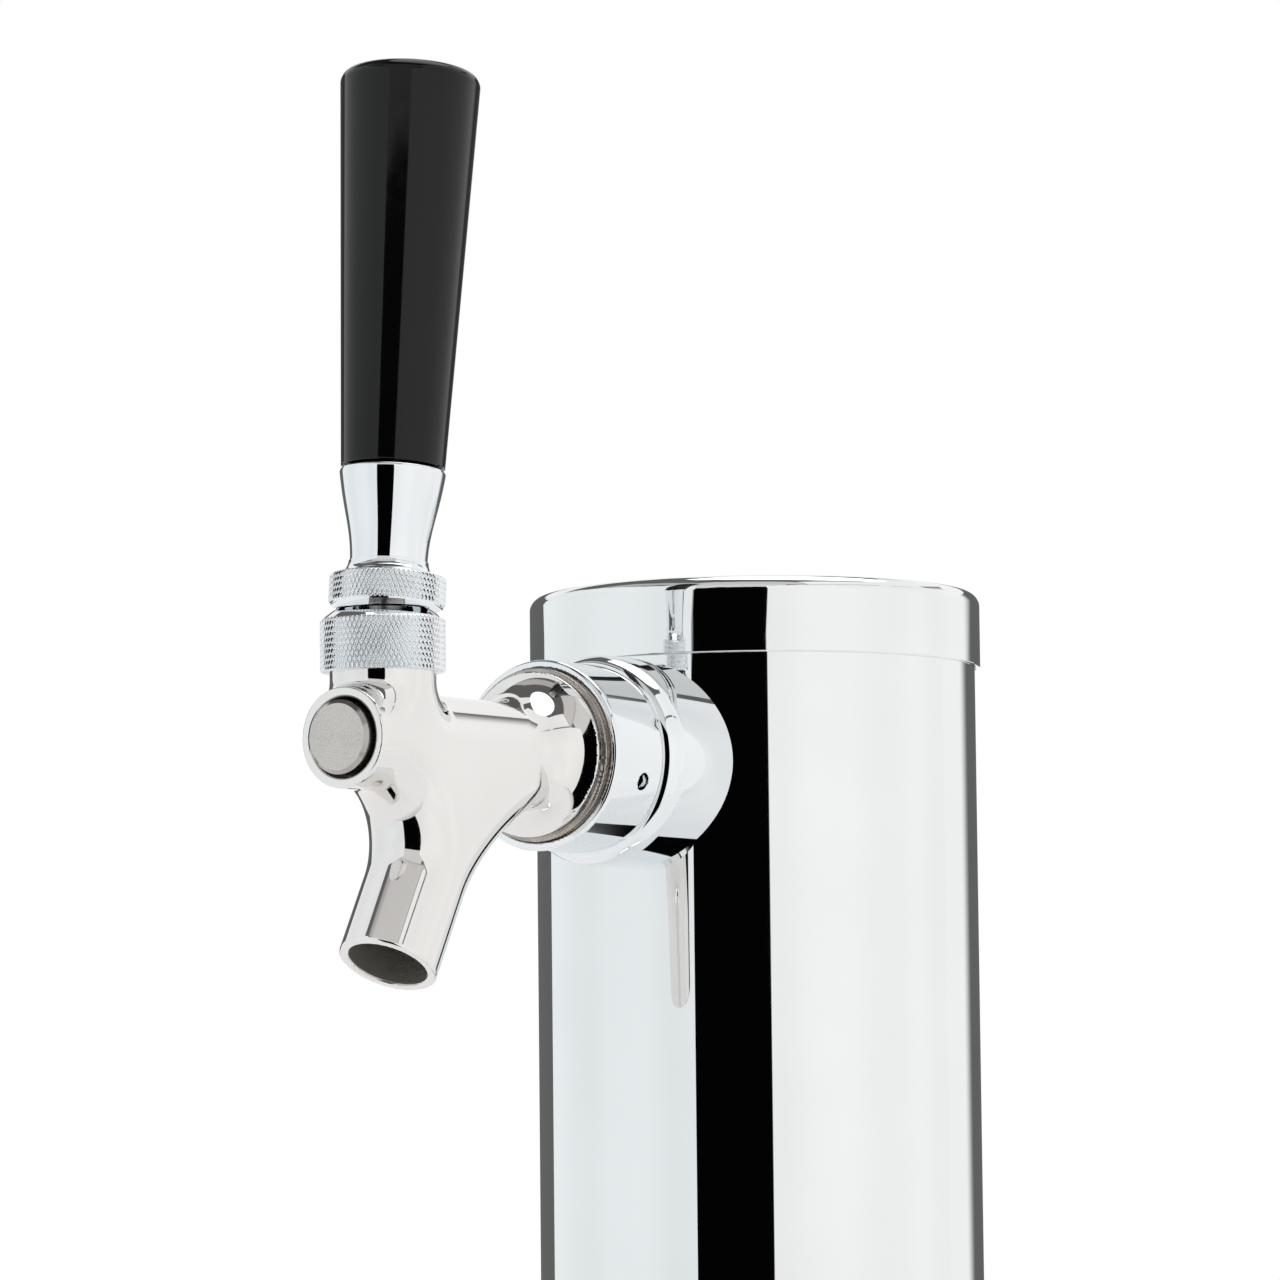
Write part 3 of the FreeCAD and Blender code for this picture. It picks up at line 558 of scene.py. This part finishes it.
def make_bonnet(looks):
    """Knurled ring with a dome struck from the ball's centre."""
    low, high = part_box("bonnet")
    crest = (high.x - low.x) / 2 / MM
    base = low.z / MM
    top = high.z / MM
    knurl_top = base + BONNET_KNURL
    ball = LEVER_PIVOT.z / MM
    dome = math.hypot(crest - KNURL_DEPTH, knurl_top - ball)
    start = math.degrees(math.atan2(knurl_top - ball, crest - KNURL_DEPTH))
    end = math.degrees(math.acos(BONNET_MOUTH_R / dome))
    inset, rise = BONNET_CHAMFER
    outline = [(BONNET_BORE, base), (crest - inset, base)]
    outline += band(crest, base + rise, knurl_top - BONNET_TOP_GAP)
    outline += arc((0, ball), dome, start, end, BONNET_DOME_STEPS)
    inset, drop = BONNET_MOUTH_EDGE
    floor = top - BONNET_SOCKET_DEPTH
    outline += [(BONNET_MOUTH_R - inset, top - drop), (BONNET_SOCKET_R, floor), (BONNET_BORE, floor)]
    knurl = diamond_knurl(crest, BONNET_TEETH, base, knurl_top)
    place = Matrix.Translation((0, LEVER_PIVOT.y, 0))
    piece = lathe("bonnet_knurled", outline, place, BONNET_TEETH * KNURL_TOOTH, knurl)
    piece.data.materials.append(looks["chrome"])
    stand_in(piece, "bonnet", "tower")


# ------------------------------------------------------------------ lever pieces
# Heights are above the ball's centre, along the leaning lever.
FERRULE_LOW_UP = 19.6
FERRULE_TOP_UP = 34.6
FERRULE_LOW_R = 6.2
FERRULE_TOP_R = 8.5
FERRULE_TOP_ROUND = 0.7
FERRULE_TOP_ARC = (15, 90)
FERRULE_TOP_STEPS = 6
FERRULE_STEPS = 24
FERRULE_SPREAD = 1.3
FERRULE_WAIST = 0.05
FERRULE_LIFT = 0.05
FERRULE_SEGMENTS = 128
KNOB_LOW_R = 8.35
KNOB_TOP_R = 11.32
KNOB_TOP_UP = 100.1
KNOB_EDGE_ROUND = 2.3
KNOB_EDGE_ARC = (2, 86)
KNOB_EDGE_STEPS = 12
KNOB_LOW_CHAMFER = 0.2
KNOB_DOME_STEPS = 7
KNOB_SEGMENTS = 160
KNOB_DOME = 0.25
KNOB_SEAT = 0.3
SPIGOT_R = 4.0
SPIGOT_END_UP = 50.0
COLLAR_TEETH = 72
COLLAR_KNURL = (12.7, 17.3)
COLLAR_KNURL_EDGE = 0.12
COLLAR_BEVEL = (8.95, 12.5)
COLLAR_BORE = 4.75
COLLAR_DISH_STEPS = 16
COLLAR_SHOULDER_R = 8.9
COLLAR_HUB_R = 6.4
COLLAR_FLARE_STEPS = 12


def lever_frame():
    """Origin at the ball's centre, +Z up the leaning lever."""
    spots = np.array([v.co for v in frame["nodes"]["knob_insert"].data.vertices], float)
    middle = Vector(spots.mean(0))
    middle.x = 0.0
    return upright(LEVER_PIVOT, (middle - LEVER_PIVOT).normalized())


def make_lever_collar(place, looks):
    """Knurled collar, dished round the ball below and flared to a hub above."""
    low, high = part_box("lever_collar")
    crest = (high.x - low.x) / 2 / MM
    knurl_low, knurl_high = COLLAR_KNURL
    dish = math.hypot(*COLLAR_BEVEL)
    start = math.degrees(math.atan2(math.sqrt(dish ** 2 - COLLAR_BORE ** 2), COLLAR_BORE))
    end = math.degrees(math.atan2(COLLAR_BEVEL[1], COLLAR_BEVEL[0]))
    shoulder = (COLLAR_SHOULDER_R, knurl_high)
    outline = arc((0, 0), dish, start, end, COLLAR_DISH_STEPS)
    outline += [(crest - KNURL_DEPTH, knurl_low)]
    outline += band(crest, knurl_low + COLLAR_KNURL_EDGE, knurl_high - COLLAR_KNURL_EDGE)
    outline += [shoulder]
    outline += flare(shoulder, (COLLAR_HUB_R, FERRULE_LOW_UP), COLLAR_FLARE_STEPS)
    outline += [(COLLAR_BORE, FERRULE_LOW_UP)]
    knurl = diamond_knurl(crest, COLLAR_TEETH, knurl_low, knurl_high)
    piece = lathe("lever_collar_knurled", outline, place, COLLAR_TEETH * KNURL_TOOTH, knurl)
    piece.data.materials.append(looks["chrome"])
    stand_in(piece, "lever_collar", "lever")


def make_ferrule(place, looks):
    """Waisted ferrule with its spigot, closed round the axis."""
    shoulder = FERRULE_TOP_UP - FERRULE_TOP_ROUND
    outline = [(0, FERRULE_LOW_UP)]
    for i in range(FERRULE_STEPS + 1):
        t = i / FERRULE_STEPS
        swell = t ** FERRULE_SPREAD - FERRULE_WAIST * math.sin(2 * math.pi * t)
        height = FERRULE_LOW_UP + FERRULE_LIFT + (shoulder - FERRULE_LOW_UP - FERRULE_LIFT) * t
        outline.append((FERRULE_LOW_R + (FERRULE_TOP_R - FERRULE_LOW_R) * swell, height))
    centre = (FERRULE_TOP_R - FERRULE_TOP_ROUND, shoulder)
    outline += arc(centre, FERRULE_TOP_ROUND, *FERRULE_TOP_ARC, FERRULE_TOP_STEPS)
    outline += [(SPIGOT_R, FERRULE_TOP_UP), (SPIGOT_R, SPIGOT_END_UP), (0, SPIGOT_END_UP)]
    piece = lathe("ferrule_waisted", outline, place, FERRULE_SEGMENTS)
    piece.data.materials.append(looks["chrome"])
    stand_in(piece, "handle_ferrule", "lever")


def make_knob(place, looks):
    """Tapered knob with a rounded rim, a faint dome and its spigot hole."""
    rim_up = KNOB_TOP_UP - KNOB_DOME - KNOB_EDGE_ROUND
    flat_r = KNOB_TOP_R - KNOB_EDGE_ROUND
    seat = FERRULE_TOP_UP + KNOB_SEAT
    chamfer = KNOB_LOW_CHAMFER
    outline = [(SPIGOT_R, seat), (KNOB_LOW_R - chamfer, seat), (KNOB_LOW_R, seat + chamfer)]
    outline += arc((flat_r, rim_up), KNOB_EDGE_ROUND, *KNOB_EDGE_ARC, KNOB_EDGE_STEPS)
    for i in range(1, KNOB_DOME_STEPS):
        share = 1 - i / KNOB_DOME_STEPS
        outline.append((flat_r * share, KNOB_TOP_UP - KNOB_DOME * share ** 2))
    outline += [(0, KNOB_TOP_UP), (0, SPIGOT_END_UP), (SPIGOT_R, SPIGOT_END_UP)]
    piece = lathe("knob_tapered", outline, place, KNOB_SEGMENTS)
    piece.data.materials.append(looks["black_plastic"])
    stand_in(piece, "handle_knob", "lever")


# ------------------------------------------------------------------ finishes on CAD pieces
# In metres.
FLAT_WITHIN = 0.00002
BUTTON_BEVEL_BACK = 0.0035
CAP_WELD = 0.000002
CAP_BEVEL = 0.00025
CAP_BEVEL_STEPS = 3
CAP_BEVEL_DEG = 60
# The modifier's weight range ends at 100, where a face's area counts the most.
CAP_AREA_WEIGHT = 100


def finish_button(looks):
    """The valve's front face is fine-turned, and the bevel round it has a look of its own: glossier, and painted
    darker than the face as painted shade.
    """
    mesh = frame["nodes"]["valve_shaft"].data
    face = min(v.co.y for v in mesh.vertices)
    mesh.materials.append(looks["button_face"])
    mesh.materials.append(looks["button_bevel"])
    for polygon in mesh.polygons:
        if polygon.center.y < face + FLAT_WITHIN:
            polygon.material_index = 1
        elif polygon.center.y < face + BUTTON_BEVEL_BACK:
            polygon.material_index = 2


def finish_cap(looks):
    """The cap's flat top is spun satin, and small bevels break its sharp edges.  The CAD
    mesh is split at those edges, so it is welded first."""
    cap = frame["nodes"]["cap"]
    top = max(v.co.z for v in cap.data.vertices)
    cap.data.materials.append(looks["cap_top"])
    for polygon in cap.data.polygons:
        if polygon.center.z > top - FLAT_WITHIN:
            polygon.material_index = 1
    weld = cap.modifiers.new("joined", "WELD")
    weld.merge_threshold = CAP_WELD
    bevel = cap.modifiers.new("rim", "BEVEL")
    bevel.width = CAP_BEVEL
    bevel.segments = CAP_BEVEL_STEPS
    bevel.limit_method = "ANGLE"
    bevel.angle_limit = math.radians(CAP_BEVEL_DEG)
    even = cap.modifiers.new("even", "WEIGHTED_NORMAL")
    even.weight = CAP_AREA_WEIGHT
    even.keep_sharp = False


# ------------------------------------------------------------------ materials
def node_material(name):
    """A new material, its node tree and its main shader."""
    mat = bpy.data.materials.new(name)
    mat.use_nodes = True
    tree = mat.node_tree
    shader = tree.nodes["Principled BSDF"]
    return mat, tree, shader


def add(tree, kind, **values):
    """A new node with these values in its inputs or, failing that, its settings."""
    node = tree.nodes.new(kind)
    for key, value in values.items():
        if key in node.inputs:
            node.inputs[key].default_value = value
        else:
            setattr(node, key, value)
    return node


def object_space(tree, scale=(1, 1, 1)):
    """The object's own coordinates in metres, stretched by a scale."""
    coords = add(tree, "ShaderNodeTexCoord")
    mapping = add(tree, "ShaderNodeMapping")
    mapping.inputs["Scale"].default_value = scale
    tree.links.new(coords.outputs["Object"], mapping.inputs["Vector"])
    return mapping.outputs["Vector"]


def noise(tree, vector, scale, detail=3.0):
    """Value of a noise at this place, mostly between 0.3 and 0.7."""
    node = add(tree, "ShaderNodeTexNoise")
    node.inputs["Scale"].default_value = scale
    node.inputs["Detail"].default_value = detail
    tree.links.new(vector, node.inputs["Vector"])
    return node.outputs["Fac"]


NOISE_RANGE = (0.3, 0.7)


def spread(tree, value, low, high):
    """Map the usual range of a noise onto low..high."""
    node = add(tree, "ShaderNodeMapRange")
    node.inputs["From Min"].default_value, node.inputs["From Max"].default_value = NOISE_RANGE
    node.inputs["To Min"].default_value = low
    node.inputs["To Max"].default_value = high
    tree.links.new(value, node.inputs["Value"])
    return node.outputs["Result"]


def tint(tree, value, first, second):
    """Blend two colours by a 0..1 value."""
    node = add(tree, "ShaderNodeMix", data_type="RGBA")
    node.inputs["A"].default_value = (*first, 1)
    node.inputs["B"].default_value = (*second, 1)
    tree.links.new(value, node.inputs["Factor"])
    return node.outputs["Result"]


def bump(tree, shader, height, distance):
    """Surface relief of this depth in metres."""
    node = add(tree, "ShaderNodeBump")
    node.inputs["Distance"].default_value = distance
    node.inputs["Strength"].default_value = 1.0
    tree.links.new(height, node.inputs["Height"])
    tree.links.new(node.outputs["Normal"], shader.inputs["Normal"])


# Scales of the noises, in cells per metre.
POLISHED_DRIFT = 35.0
POLISHED_STREAKS = 900.0
POLISHED_WAVES = 90.0
TURNED_DRIFT = 260.0
TURNED_GRAIN = 2600.0
TURNED_ROUGH_SHARE = 0.2
MOULDED_DRIFT = 60.0
MOULDED_SHEEN = 400.0


def polished_metal(name, light, dark, rough, waves=0.0, streak=(1, 1, 1), metal=1.0):
    """Mirror metal: faint colour drift, streaky roughness and slow surface waves."""
    mat, tree, shader = node_material(name)
    shader.inputs["Metallic"].default_value = metal
    plain = object_space(tree)
    streaks = object_space(tree, streak)
    drift = spread(tree, noise(tree, plain, POLISHED_DRIFT), 0.0, 1.0)
    tree.links.new(tint(tree, drift, light, dark), shader.inputs["Base Color"])
    fine = spread(tree, noise(tree, streaks, POLISHED_STREAKS, detail=5.0), *rough)
    tree.links.new(fine, shader.inputs["Roughness"])
    if waves:
        bump(tree, shader, noise(tree, plain, POLISHED_WAVES, detail=1.0), waves)
    return mat


def turned_metal(name, light, dark, rough, grain):
    """Satin metal with the fine random grain left by turning and tumbling."""
    mat, tree, shader = node_material(name)
    shader.inputs["Metallic"].default_value = 1.0
    plain = object_space(tree)
    speckle = noise(tree, plain, TURNED_GRAIN, detail=4.0)
    drift = spread(tree, noise(tree, plain, TURNED_DRIFT), 0.0, 1.0)
    tree.links.new(tint(tree, drift, light, dark), shader.inputs["Base Color"])
    sway = rough * TURNED_ROUGH_SHARE
    tree.links.new(spread(tree, speckle, rough - sway, rough + sway), shader.inputs["Roughness"])
    bump(tree, shader, speckle, grain)
    return mat


def ringed_metal(name, light, dark, rough, grain, rings, centre=None):
    """Metal with fine turning rings.  rings holds the settings of the wave that draws
    them, and centre is where their axis passes, if not through the object's origin."""
    mat, tree, shader = node_material(name)
    shader.inputs["Metallic"].default_value = 1.0
    wave = add(tree, "ShaderNodeTexWave", wave_type="RINGS", **rings)
    place = object_space(tree)
    if centre is not None:
        centred = add(tree, "ShaderNodeVectorMath", operation="SUBTRACT")
        tree.links.new(place, centred.inputs[0])
        centred.inputs[1].default_value = centre
        place = centred.outputs[0]
    tree.links.new(place, wave.inputs["Vector"])
    marks = wave.outputs["Fac"]
    tree.links.new(tint(tree, marks, light, dark), shader.inputs["Base Color"])
    tree.links.new(spread(tree, marks, *rough), shader.inputs["Roughness"])
    bump(tree, shader, marks, grain)
    return mat


BUTTON_RINGS = {"rings_direction": "Y", "Scale": 1100.0, "Distortion": 9.0,
                "Detail": 4.0, "Detail Scale": 3.0}
CAP_RINGS = {"rings_direction": "Z", "Scale": 420.0, "Distortion": 3.0, "Detail": 3.0}


def moulded(name, light, dark, rough, peel_scale, peel, ior=1.5, clear=0.0):
    """Plastic or rubber: faint mottling and an orange-peel surface."""
    mat, tree, shader = node_material(name)
    plain = object_space(tree)
    drift = spread(tree, noise(tree, plain, MOULDED_DRIFT), 0.0, 1.0)
    tree.links.new(tint(tree, drift, light, dark), shader.inputs["Base Color"])
    sheen = spread(tree, noise(tree, plain, MOULDED_SHEEN), *rough)
    tree.links.new(sheen, shader.inputs["Roughness"])
    shader.inputs["IOR"].default_value = ior
    shader.inputs["Transmission Weight"].default_value = clear
    bump(tree, shader, noise(tree, plain, peel_scale, detail=2.0), peel)
    return mat


def make_materials():
    """One look for each material slot of the part, and for the finishes within a piece."""
    return {
        "polished_stainless": polished_metal(
            "polished_stainless_look", (0.86, 0.875, 0.88), (0.83, 0.845, 0.85),
            rough=(0.012, 0.035), streak=(1, 1, 0.04)),
        "chrome": polished_metal(
            "chrome_look", (0.86, 0.885, 0.90), (0.82, 0.85, 0.87), rough=(0.012, 0.04)),
        "faucet_stainless": polished_metal(
            "faucet_look", (0.84, 0.825, 0.81), (0.80, 0.785, 0.77),
            rough=(0.03, 0.07), waves=0.000004),
        "bored_stainless": polished_metal(
            "bored_look", (0.62, 0.60, 0.56), (0.55, 0.53, 0.49), rough=(0.2, 0.26), metal=0.82),
        "worn_thread": turned_metal(
            "thread_look", (0.50, 0.46, 0.42), (0.34, 0.31, 0.28), rough=0.3, grain=0.00003),
        "satin_stainless": turned_metal(
            "satin_look", (0.66, 0.64, 0.62), (0.56, 0.54, 0.52), rough=0.38, grain=0.00002),
        "button_face": ringed_metal(
            "button_face_look", (0.66, 0.63, 0.60), (0.58, 0.55, 0.52),
            rough=(0.24, 0.36), grain=0.00002, rings=BUTTON_RINGS, centre=(0, 0, SHANK_AXIS_Z)),
        "cap_top": ringed_metal(
            "cap_top_look", (0.93, 0.93, 0.93), (0.86, 0.86, 0.86),
            rough=(0.26, 0.34), grain=0.00001, rings=CAP_RINGS),
        # The bevel's darker colour is painted shade on the chamfer ring; its lower roughness is its own finish.
        "button_bevel": turned_metal(
            "bevel_painted_shade_look", (0.50, 0.48, 0.46), (0.40, 0.385, 0.37), rough=0.16, grain=0.000005),
        "brass": turned_metal(
            "brass_look", (0.80, 0.62, 0.33), (0.70, 0.52, 0.26), rough=0.25, grain=0.00001),
        "black_plastic": moulded(
            "knob_look", (0.0018, 0.0018, 0.0019), (0.003, 0.003, 0.003),
            rough=(0.05, 0.11), peel_scale=450.0, peel=0.000002, ior=1.37),
        "white_plastic": moulded(
            "white_plastic_look", (0.85, 0.85, 0.82), (0.80, 0.80, 0.77),
            rough=(0.35, 0.5), peel_scale=800.0, peel=0.00001),
        "black_rubber": moulded(
            "rubber_look", (0.02, 0.02, 0.02), (0.035, 0.034, 0.033),
            rough=(0.6, 0.8), peel_scale=900.0, peel=0.00003),
        "vinyl_line": moulded(
            "vinyl_look", (0.80, 0.84, 0.85), (0.72, 0.77, 0.79),
            rough=(0.15, 0.3), peel_scale=300.0, peel=0.00001, clear=0.6),
        "foam": moulded(
            "foam_look", (0.03, 0.03, 0.032), (0.05, 0.05, 0.052),
            rough=(0.8, 0.95), peel_scale=700.0, peel=0.0002),
    }


def paint(looks):
    """Every CAD piece gets the look of its own material slot."""
    slots = {part["node"]: part["material_slot"] for part in frame["record"]["subparts"]}
    for name, node in frame["nodes"].items():
        look = looks[slots[name]]
        node.data.materials.clear()
        node.data.materials.append(look)


# ------------------------------------------------------------------ studio
# Angles in degrees and lengths in metres, except for the lens and the sensor in millimetres.
CAMERA_AZIMUTH = 33.4
CAMERA_DISTANCE = 1.037
CAMERA_BELOW_SHANK = 0.071
CAMERA_YAW = -1.10
CAMERA_PITCH = 5.22
CAMERA_ROLL = -0.59
CAMERA_LENS = 168.75
CAMERA_SENSOR = 36.0
CAMERA_CLIP = (0.05, 60.0)


def make_camera():
    """The photo's viewpoint.  Yaw, pitch and roll turn the camera from a level look at
    the column's axis."""
    angles = (CAMERA_AZIMUTH, CAMERA_YAW, CAMERA_PITCH, CAMERA_ROLL)
    a, yaw, pitch, roll = (math.radians(v) for v in angles)
    data = bpy.data.cameras.new("camera")
    data.lens = CAMERA_LENS
    data.sensor_width = CAMERA_SENSOR
    data.clip_start, data.clip_end = CAMERA_CLIP
    camera = bpy.data.objects.new("camera", data)
    bpy.context.scene.collection.objects.link(camera)
    bpy.context.scene.camera = camera
    level_right = Vector((math.cos(a), math.sin(a), 0))
    level_ahead = Vector((-math.sin(a), math.cos(a), 0))
    ahead = math.cos(pitch) * (math.cos(yaw) * level_ahead + math.sin(yaw) * level_right)
    ahead = (ahead + Vector((0, 0, math.sin(pitch)))).normalized()
    flat = ahead.cross(Vector((0, 0, 1))).normalized()
    rise = flat.cross(ahead)
    right = math.cos(roll) * flat + math.sin(roll) * rise
    up = math.cos(roll) * rise - math.sin(roll) * flat
    turn = Matrix((right, up, -ahead)).transposed().to_4x4()
    spot = Vector((math.sin(a), -math.cos(a), 0)) * CAMERA_DISTANCE
    spot.z = SHANK_AXIS_Z - CAMERA_BELOW_SHANK
    camera.matrix_world = Matrix.Translation(spot) @ turn


# Lights are linear colours and angles are in degrees.  Headings are from the camera,
# with right positive.
DIM = (0.13, 0.13, 0.13)
BLACK = (0.001, 0.001, 0.001)
GROUND = (0.72, 0.72, 0.71)
GROUND_EDGE = (math.sin(math.radians(-36)), math.sin(math.radians(-38)))
UNEVEN = (0.93, 1.03)
UNEVEN_SCALE = 1.3
PANEL_LEAST = 0.001
PANEL_FADE = 0.02
SOFTBOX = (2.2, 2.2, 2.2)
SOFTBOX_HEADING = 145
SOFTBOX_HEIGHT = 75
SOFTBOX_SPREAD = (23, 21)
# Heading, sides, heights, softness and light of each panel; a later one lies over
# those before it.
STUDIO_PANELS = [
    (180, (-0.14, 0.14), (-0.1, 3.0), 0.01, (1.0, 1.0, 1.0)),
    (180, (-1.4, 1.4), (0.42, 0.85), 0.02, (1.0, 1.0, 1.0)),
    (-13, (-0.6, 0.6), (0.1, 0.9), 0.03, (0.72, 0.72, 0.71)),
    (-75, (-1.0, 1.2), (1.25, 2.0), 0.05, (0.50, 0.49, 0.48)),
    (-13, (-0.95, 0.95), (0.9, 2.0), 0.10, (0.66, 0.65, 0.64)),
    (-88, (-1.15, 1.50), (-1.5, 1.12), 0.006, (0.93, 0.96, 0.97)),
    (110, (-0.6, 1.2), (0.80, 1.6), 0.02, (1.0, 1.0, 1.0)),
    (60, (-0.55, 1.45), (0.83, 1.8), 0.02, (1.0, 1.0, 1.0)),
    (110, (-0.6, 0.57), (-1.5, 0.66), 0.15, (1.0, 0.995, 0.99)),
    (60, (-1.38, 1.0), (-1.5, 0.78), 0.006, (1.0, 0.995, 0.99)),
    (-12.3, (-0.3375, 0.3375), (-0.75, 0.36), 0.004, BLACK),
]


def math_node(tree, operation, first, second):
    """Output of a math operation on two values, each a number or a node's output."""
    node = add(tree, "ShaderNodeMath", operation=operation)
    for index, value in enumerate((first, second)):
        if isinstance(value, bpy.types.NodeSocket):
            tree.links.new(value, node.inputs[index])
        else:
            node.inputs[index].default_value = value
    return node.outputs[0]


def edge(tree, value, low, high):
    """0 below low and 1 above high; low above high turns it round."""
    node = add(tree, "ShaderNodeMapRange", interpolation_type="SMOOTHSTEP")
    node.inputs["From Min"].default_value = low
    node.inputs["From Max"].default_value = high
    tree.links.new(value, node.inputs["Value"])
    return node.outputs["Result"]


def window(tree, value, low, high, soft):
    """1 between low and high, with soft edges."""
    rising = edge(tree, value, low - soft, low + soft)
    falling = edge(tree, value, high + soft, high - soft)
    return math_node(tree, "MULTIPLY", rising, falling)


def panel_mask(tree, direction, heading, sides, heights, soft):
    """1 where a direction meets a flat upright panel one unit away at this heading.
    sides and heights are on the panel."""
    turn = math.radians(CAMERA_AZIMUTH + heading)
    toward = Vector((math.sin(turn), -math.cos(turn), 0))
    right = Vector((math.cos(turn), math.sin(turn), 0))
    parts = []
    for axis in (toward, right, Vector((0, 0, 1))):
        dot = add(tree, "ShaderNodeVectorMath", operation="DOT_PRODUCT")
        tree.links.new(direction, dot.inputs[0])
        dot.inputs[1].default_value = axis
        parts.append(dot.outputs["Value"])
    ahead = math_node(tree, "MAXIMUM", parts[0], PANEL_LEAST)
    across = math_node(tree, "DIVIDE", parts[1], ahead)
    above = math_node(tree, "DIVIDE", parts[2], ahead)
    wide = window(tree, across, *sides, soft)
    tall = window(tree, above, *heights, soft)
    mask = math_node(tree, "MULTIPLY", wide, tall)
    return math_node(tree, "MULTIPLY", mask, edge(tree, parts[0], 0.0, PANEL_FADE))


def layer(tree, under, light, mask):
    """Lay a flat light over the colour beneath where the mask is 1."""
    mix = add(tree, "ShaderNodeMix", data_type="RGBA")
    tree.links.new(mask, mix.inputs["Factor"])
    tree.links.new(under, mix.inputs["A"])
    mix.inputs["B"].default_value = (*light, 1)
    return mix.outputs["Result"]


def make_world():
    """A light tent as polished metal sees it: pale walls with dim gaps, a dark opening
    beside the camera, a round softbox overhead and plain white behind the object."""
    world = bpy.data.worlds.new("studio")
    bpy.context.scene.world = world
    world.use_nodes = True
    tree = world.node_tree
    tree.nodes.clear()
    direction = add(tree, "ShaderNodeTexCoord").outputs["Generated"]
    split = add(tree, "ShaderNodeSeparateXYZ")
    tree.links.new(direction, split.inputs["Vector"])
    look = add(tree, "ShaderNodeRGB")
    look.outputs[0].default_value = (*DIM, 1)
    colour = look.outputs[0]
    for heading, sides, heights, soft, light in STUDIO_PANELS:
        mask = panel_mask(tree, direction, heading, sides, heights, soft)
        colour = layer(tree, colour, light, mask)
    ground = edge(tree, split.outputs["Z"], *GROUND_EDGE)
    colour = layer(tree, colour, GROUND, ground)
    turn = math.radians(CAMERA_AZIMUTH + SOFTBOX_HEADING)
    lift = math.radians(SOFTBOX_HEIGHT)
    level = math.cos(lift)
    aim = add(tree, "ShaderNodeVectorMath", operation="DOT_PRODUCT")
    tree.links.new(direction, aim.inputs[0])
    aim.inputs[1].default_value = (level * math.sin(turn), -level * math.cos(turn), math.sin(lift))
    outer, inner = (math.cos(math.radians(v)) for v in SOFTBOX_SPREAD)
    lamp = edge(tree, aim.outputs["Value"], outer, inner)
    colour = layer(tree, colour, SOFTBOX, lamp)
    background = add(tree, "ShaderNodeBackground")
    tree.links.new(colour, background.inputs["Color"])
    strength = spread(tree, noise(tree, direction, UNEVEN_SCALE, detail=1.0), *UNEVEN)
    tree.links.new(strength, background.inputs["Strength"])
    seen = add(tree, "ShaderNodeBackground", Strength=1.0, Color=(1, 1, 1, 1))
    rays = add(tree, "ShaderNodeLightPath")
    choose = add(tree, "ShaderNodeMixShader")
    tree.links.new(rays.outputs["Is Camera Ray"], choose.inputs["Fac"])
    tree.links.new(background.outputs[0], choose.inputs[1])
    tree.links.new(seen.outputs[0], choose.inputs[2])
    out = add(tree, "ShaderNodeOutputWorld")
    tree.links.new(choose.outputs[0], out.inputs["Surface"])


# In metres, or shares.
FLOOR_RADIUS = 0.95
FLOOR_BACK = 0.5
FLOOR_GLOW = 0.2
FLOOR_RINGS = 24
FLOOR_SPOKES = 96
FLOOR_DROP = 0.0002
FLOOR_GREY = 0.86
FLOOR_ROUGH = 0.7
FLOOR_FADE_FROM = 0.9


def make_floor():
    """A pale round floor that fades into the background."""
    spokes = FLOOR_SPOKES
    points, faces = [(0, 0, 0)], []
    for i in range(1, FLOOR_RINGS + 1):
        for j in range(spokes):
            a = 2 * math.pi * j / spokes
            r = FLOOR_RADIUS * (i / FLOOR_RINGS) ** 2
            points.append((r * math.cos(a), r * math.sin(a), 0))
    for j in range(spokes):
        faces.append((0, 1 + j, 1 + (j + 1) % spokes))
    for i in range(FLOOR_RINGS - 1):
        for j in range(spokes):
            a, b = 1 + i * spokes, 1 + (i + 1) * spokes
            k = (j + 1) % spokes
            faces.append((a + j, b + j, b + k, a + k))
    floor = mesh_object("floor", points, faces)
    away = math.radians(CAMERA_AZIMUTH)
    height = CAD_BOX[0].z - FLOOR_DROP
    floor.location = (-FLOOR_BACK * math.sin(away), FLOOR_BACK * math.cos(away), height)
    mat, tree, shader = node_material("floor_look")
    shader.inputs["Base Color"].default_value = (FLOOR_GREY, FLOOR_GREY, FLOOR_GREY, 1)
    shader.inputs["Roughness"].default_value = FLOOR_ROUGH
    shader.inputs["Emission Color"].default_value = (1, 1, 1, 1)
    shader.inputs["Emission Strength"].default_value = FLOOR_GLOW
    coords = add(tree, "ShaderNodeTexCoord")
    length = add(tree, "ShaderNodeVectorMath", operation="LENGTH")
    tree.links.new(coords.outputs["Object"], length.inputs[0])
    fade = add(tree, "ShaderNodeMapRange", interpolation_type="SMOOTHSTEP")
    fade.inputs["From Min"].default_value = FLOOR_RADIUS * FLOOR_FADE_FROM
    fade.inputs["From Max"].default_value = FLOOR_RADIUS
    tree.links.new(length.outputs["Value"], fade.inputs["Value"])
    clear = add(tree, "ShaderNodeBsdfTransparent")
    mix = add(tree, "ShaderNodeMixShader")
    tree.links.new(fade.outputs["Result"], mix.inputs["Fac"])
    tree.links.new(shader.outputs[0], mix.inputs[1])
    tree.links.new(clear.outputs[0], mix.inputs[2])
    tree.links.new(mix.outputs[0], tree.nodes["Material Output"].inputs["Surface"])
    floor.data.materials.append(mat)


# ------------------------------------------------------------------ assembly
bpy.context.scene.view_settings.view_transform = "Standard"
looks = make_materials()
paint(looks)
lever_place = lever_frame()
make_faucet_body(looks)
make_coupling_nut(looks)
make_bonnet(looks)
make_lever_collar(lever_place, looks)
make_ferrule(lever_place, looks)
make_knob(lever_place, looks)
make_sleeve(looks)
finish_button(looks)
finish_cap(looks)
make_floor()
make_world()
make_camera()
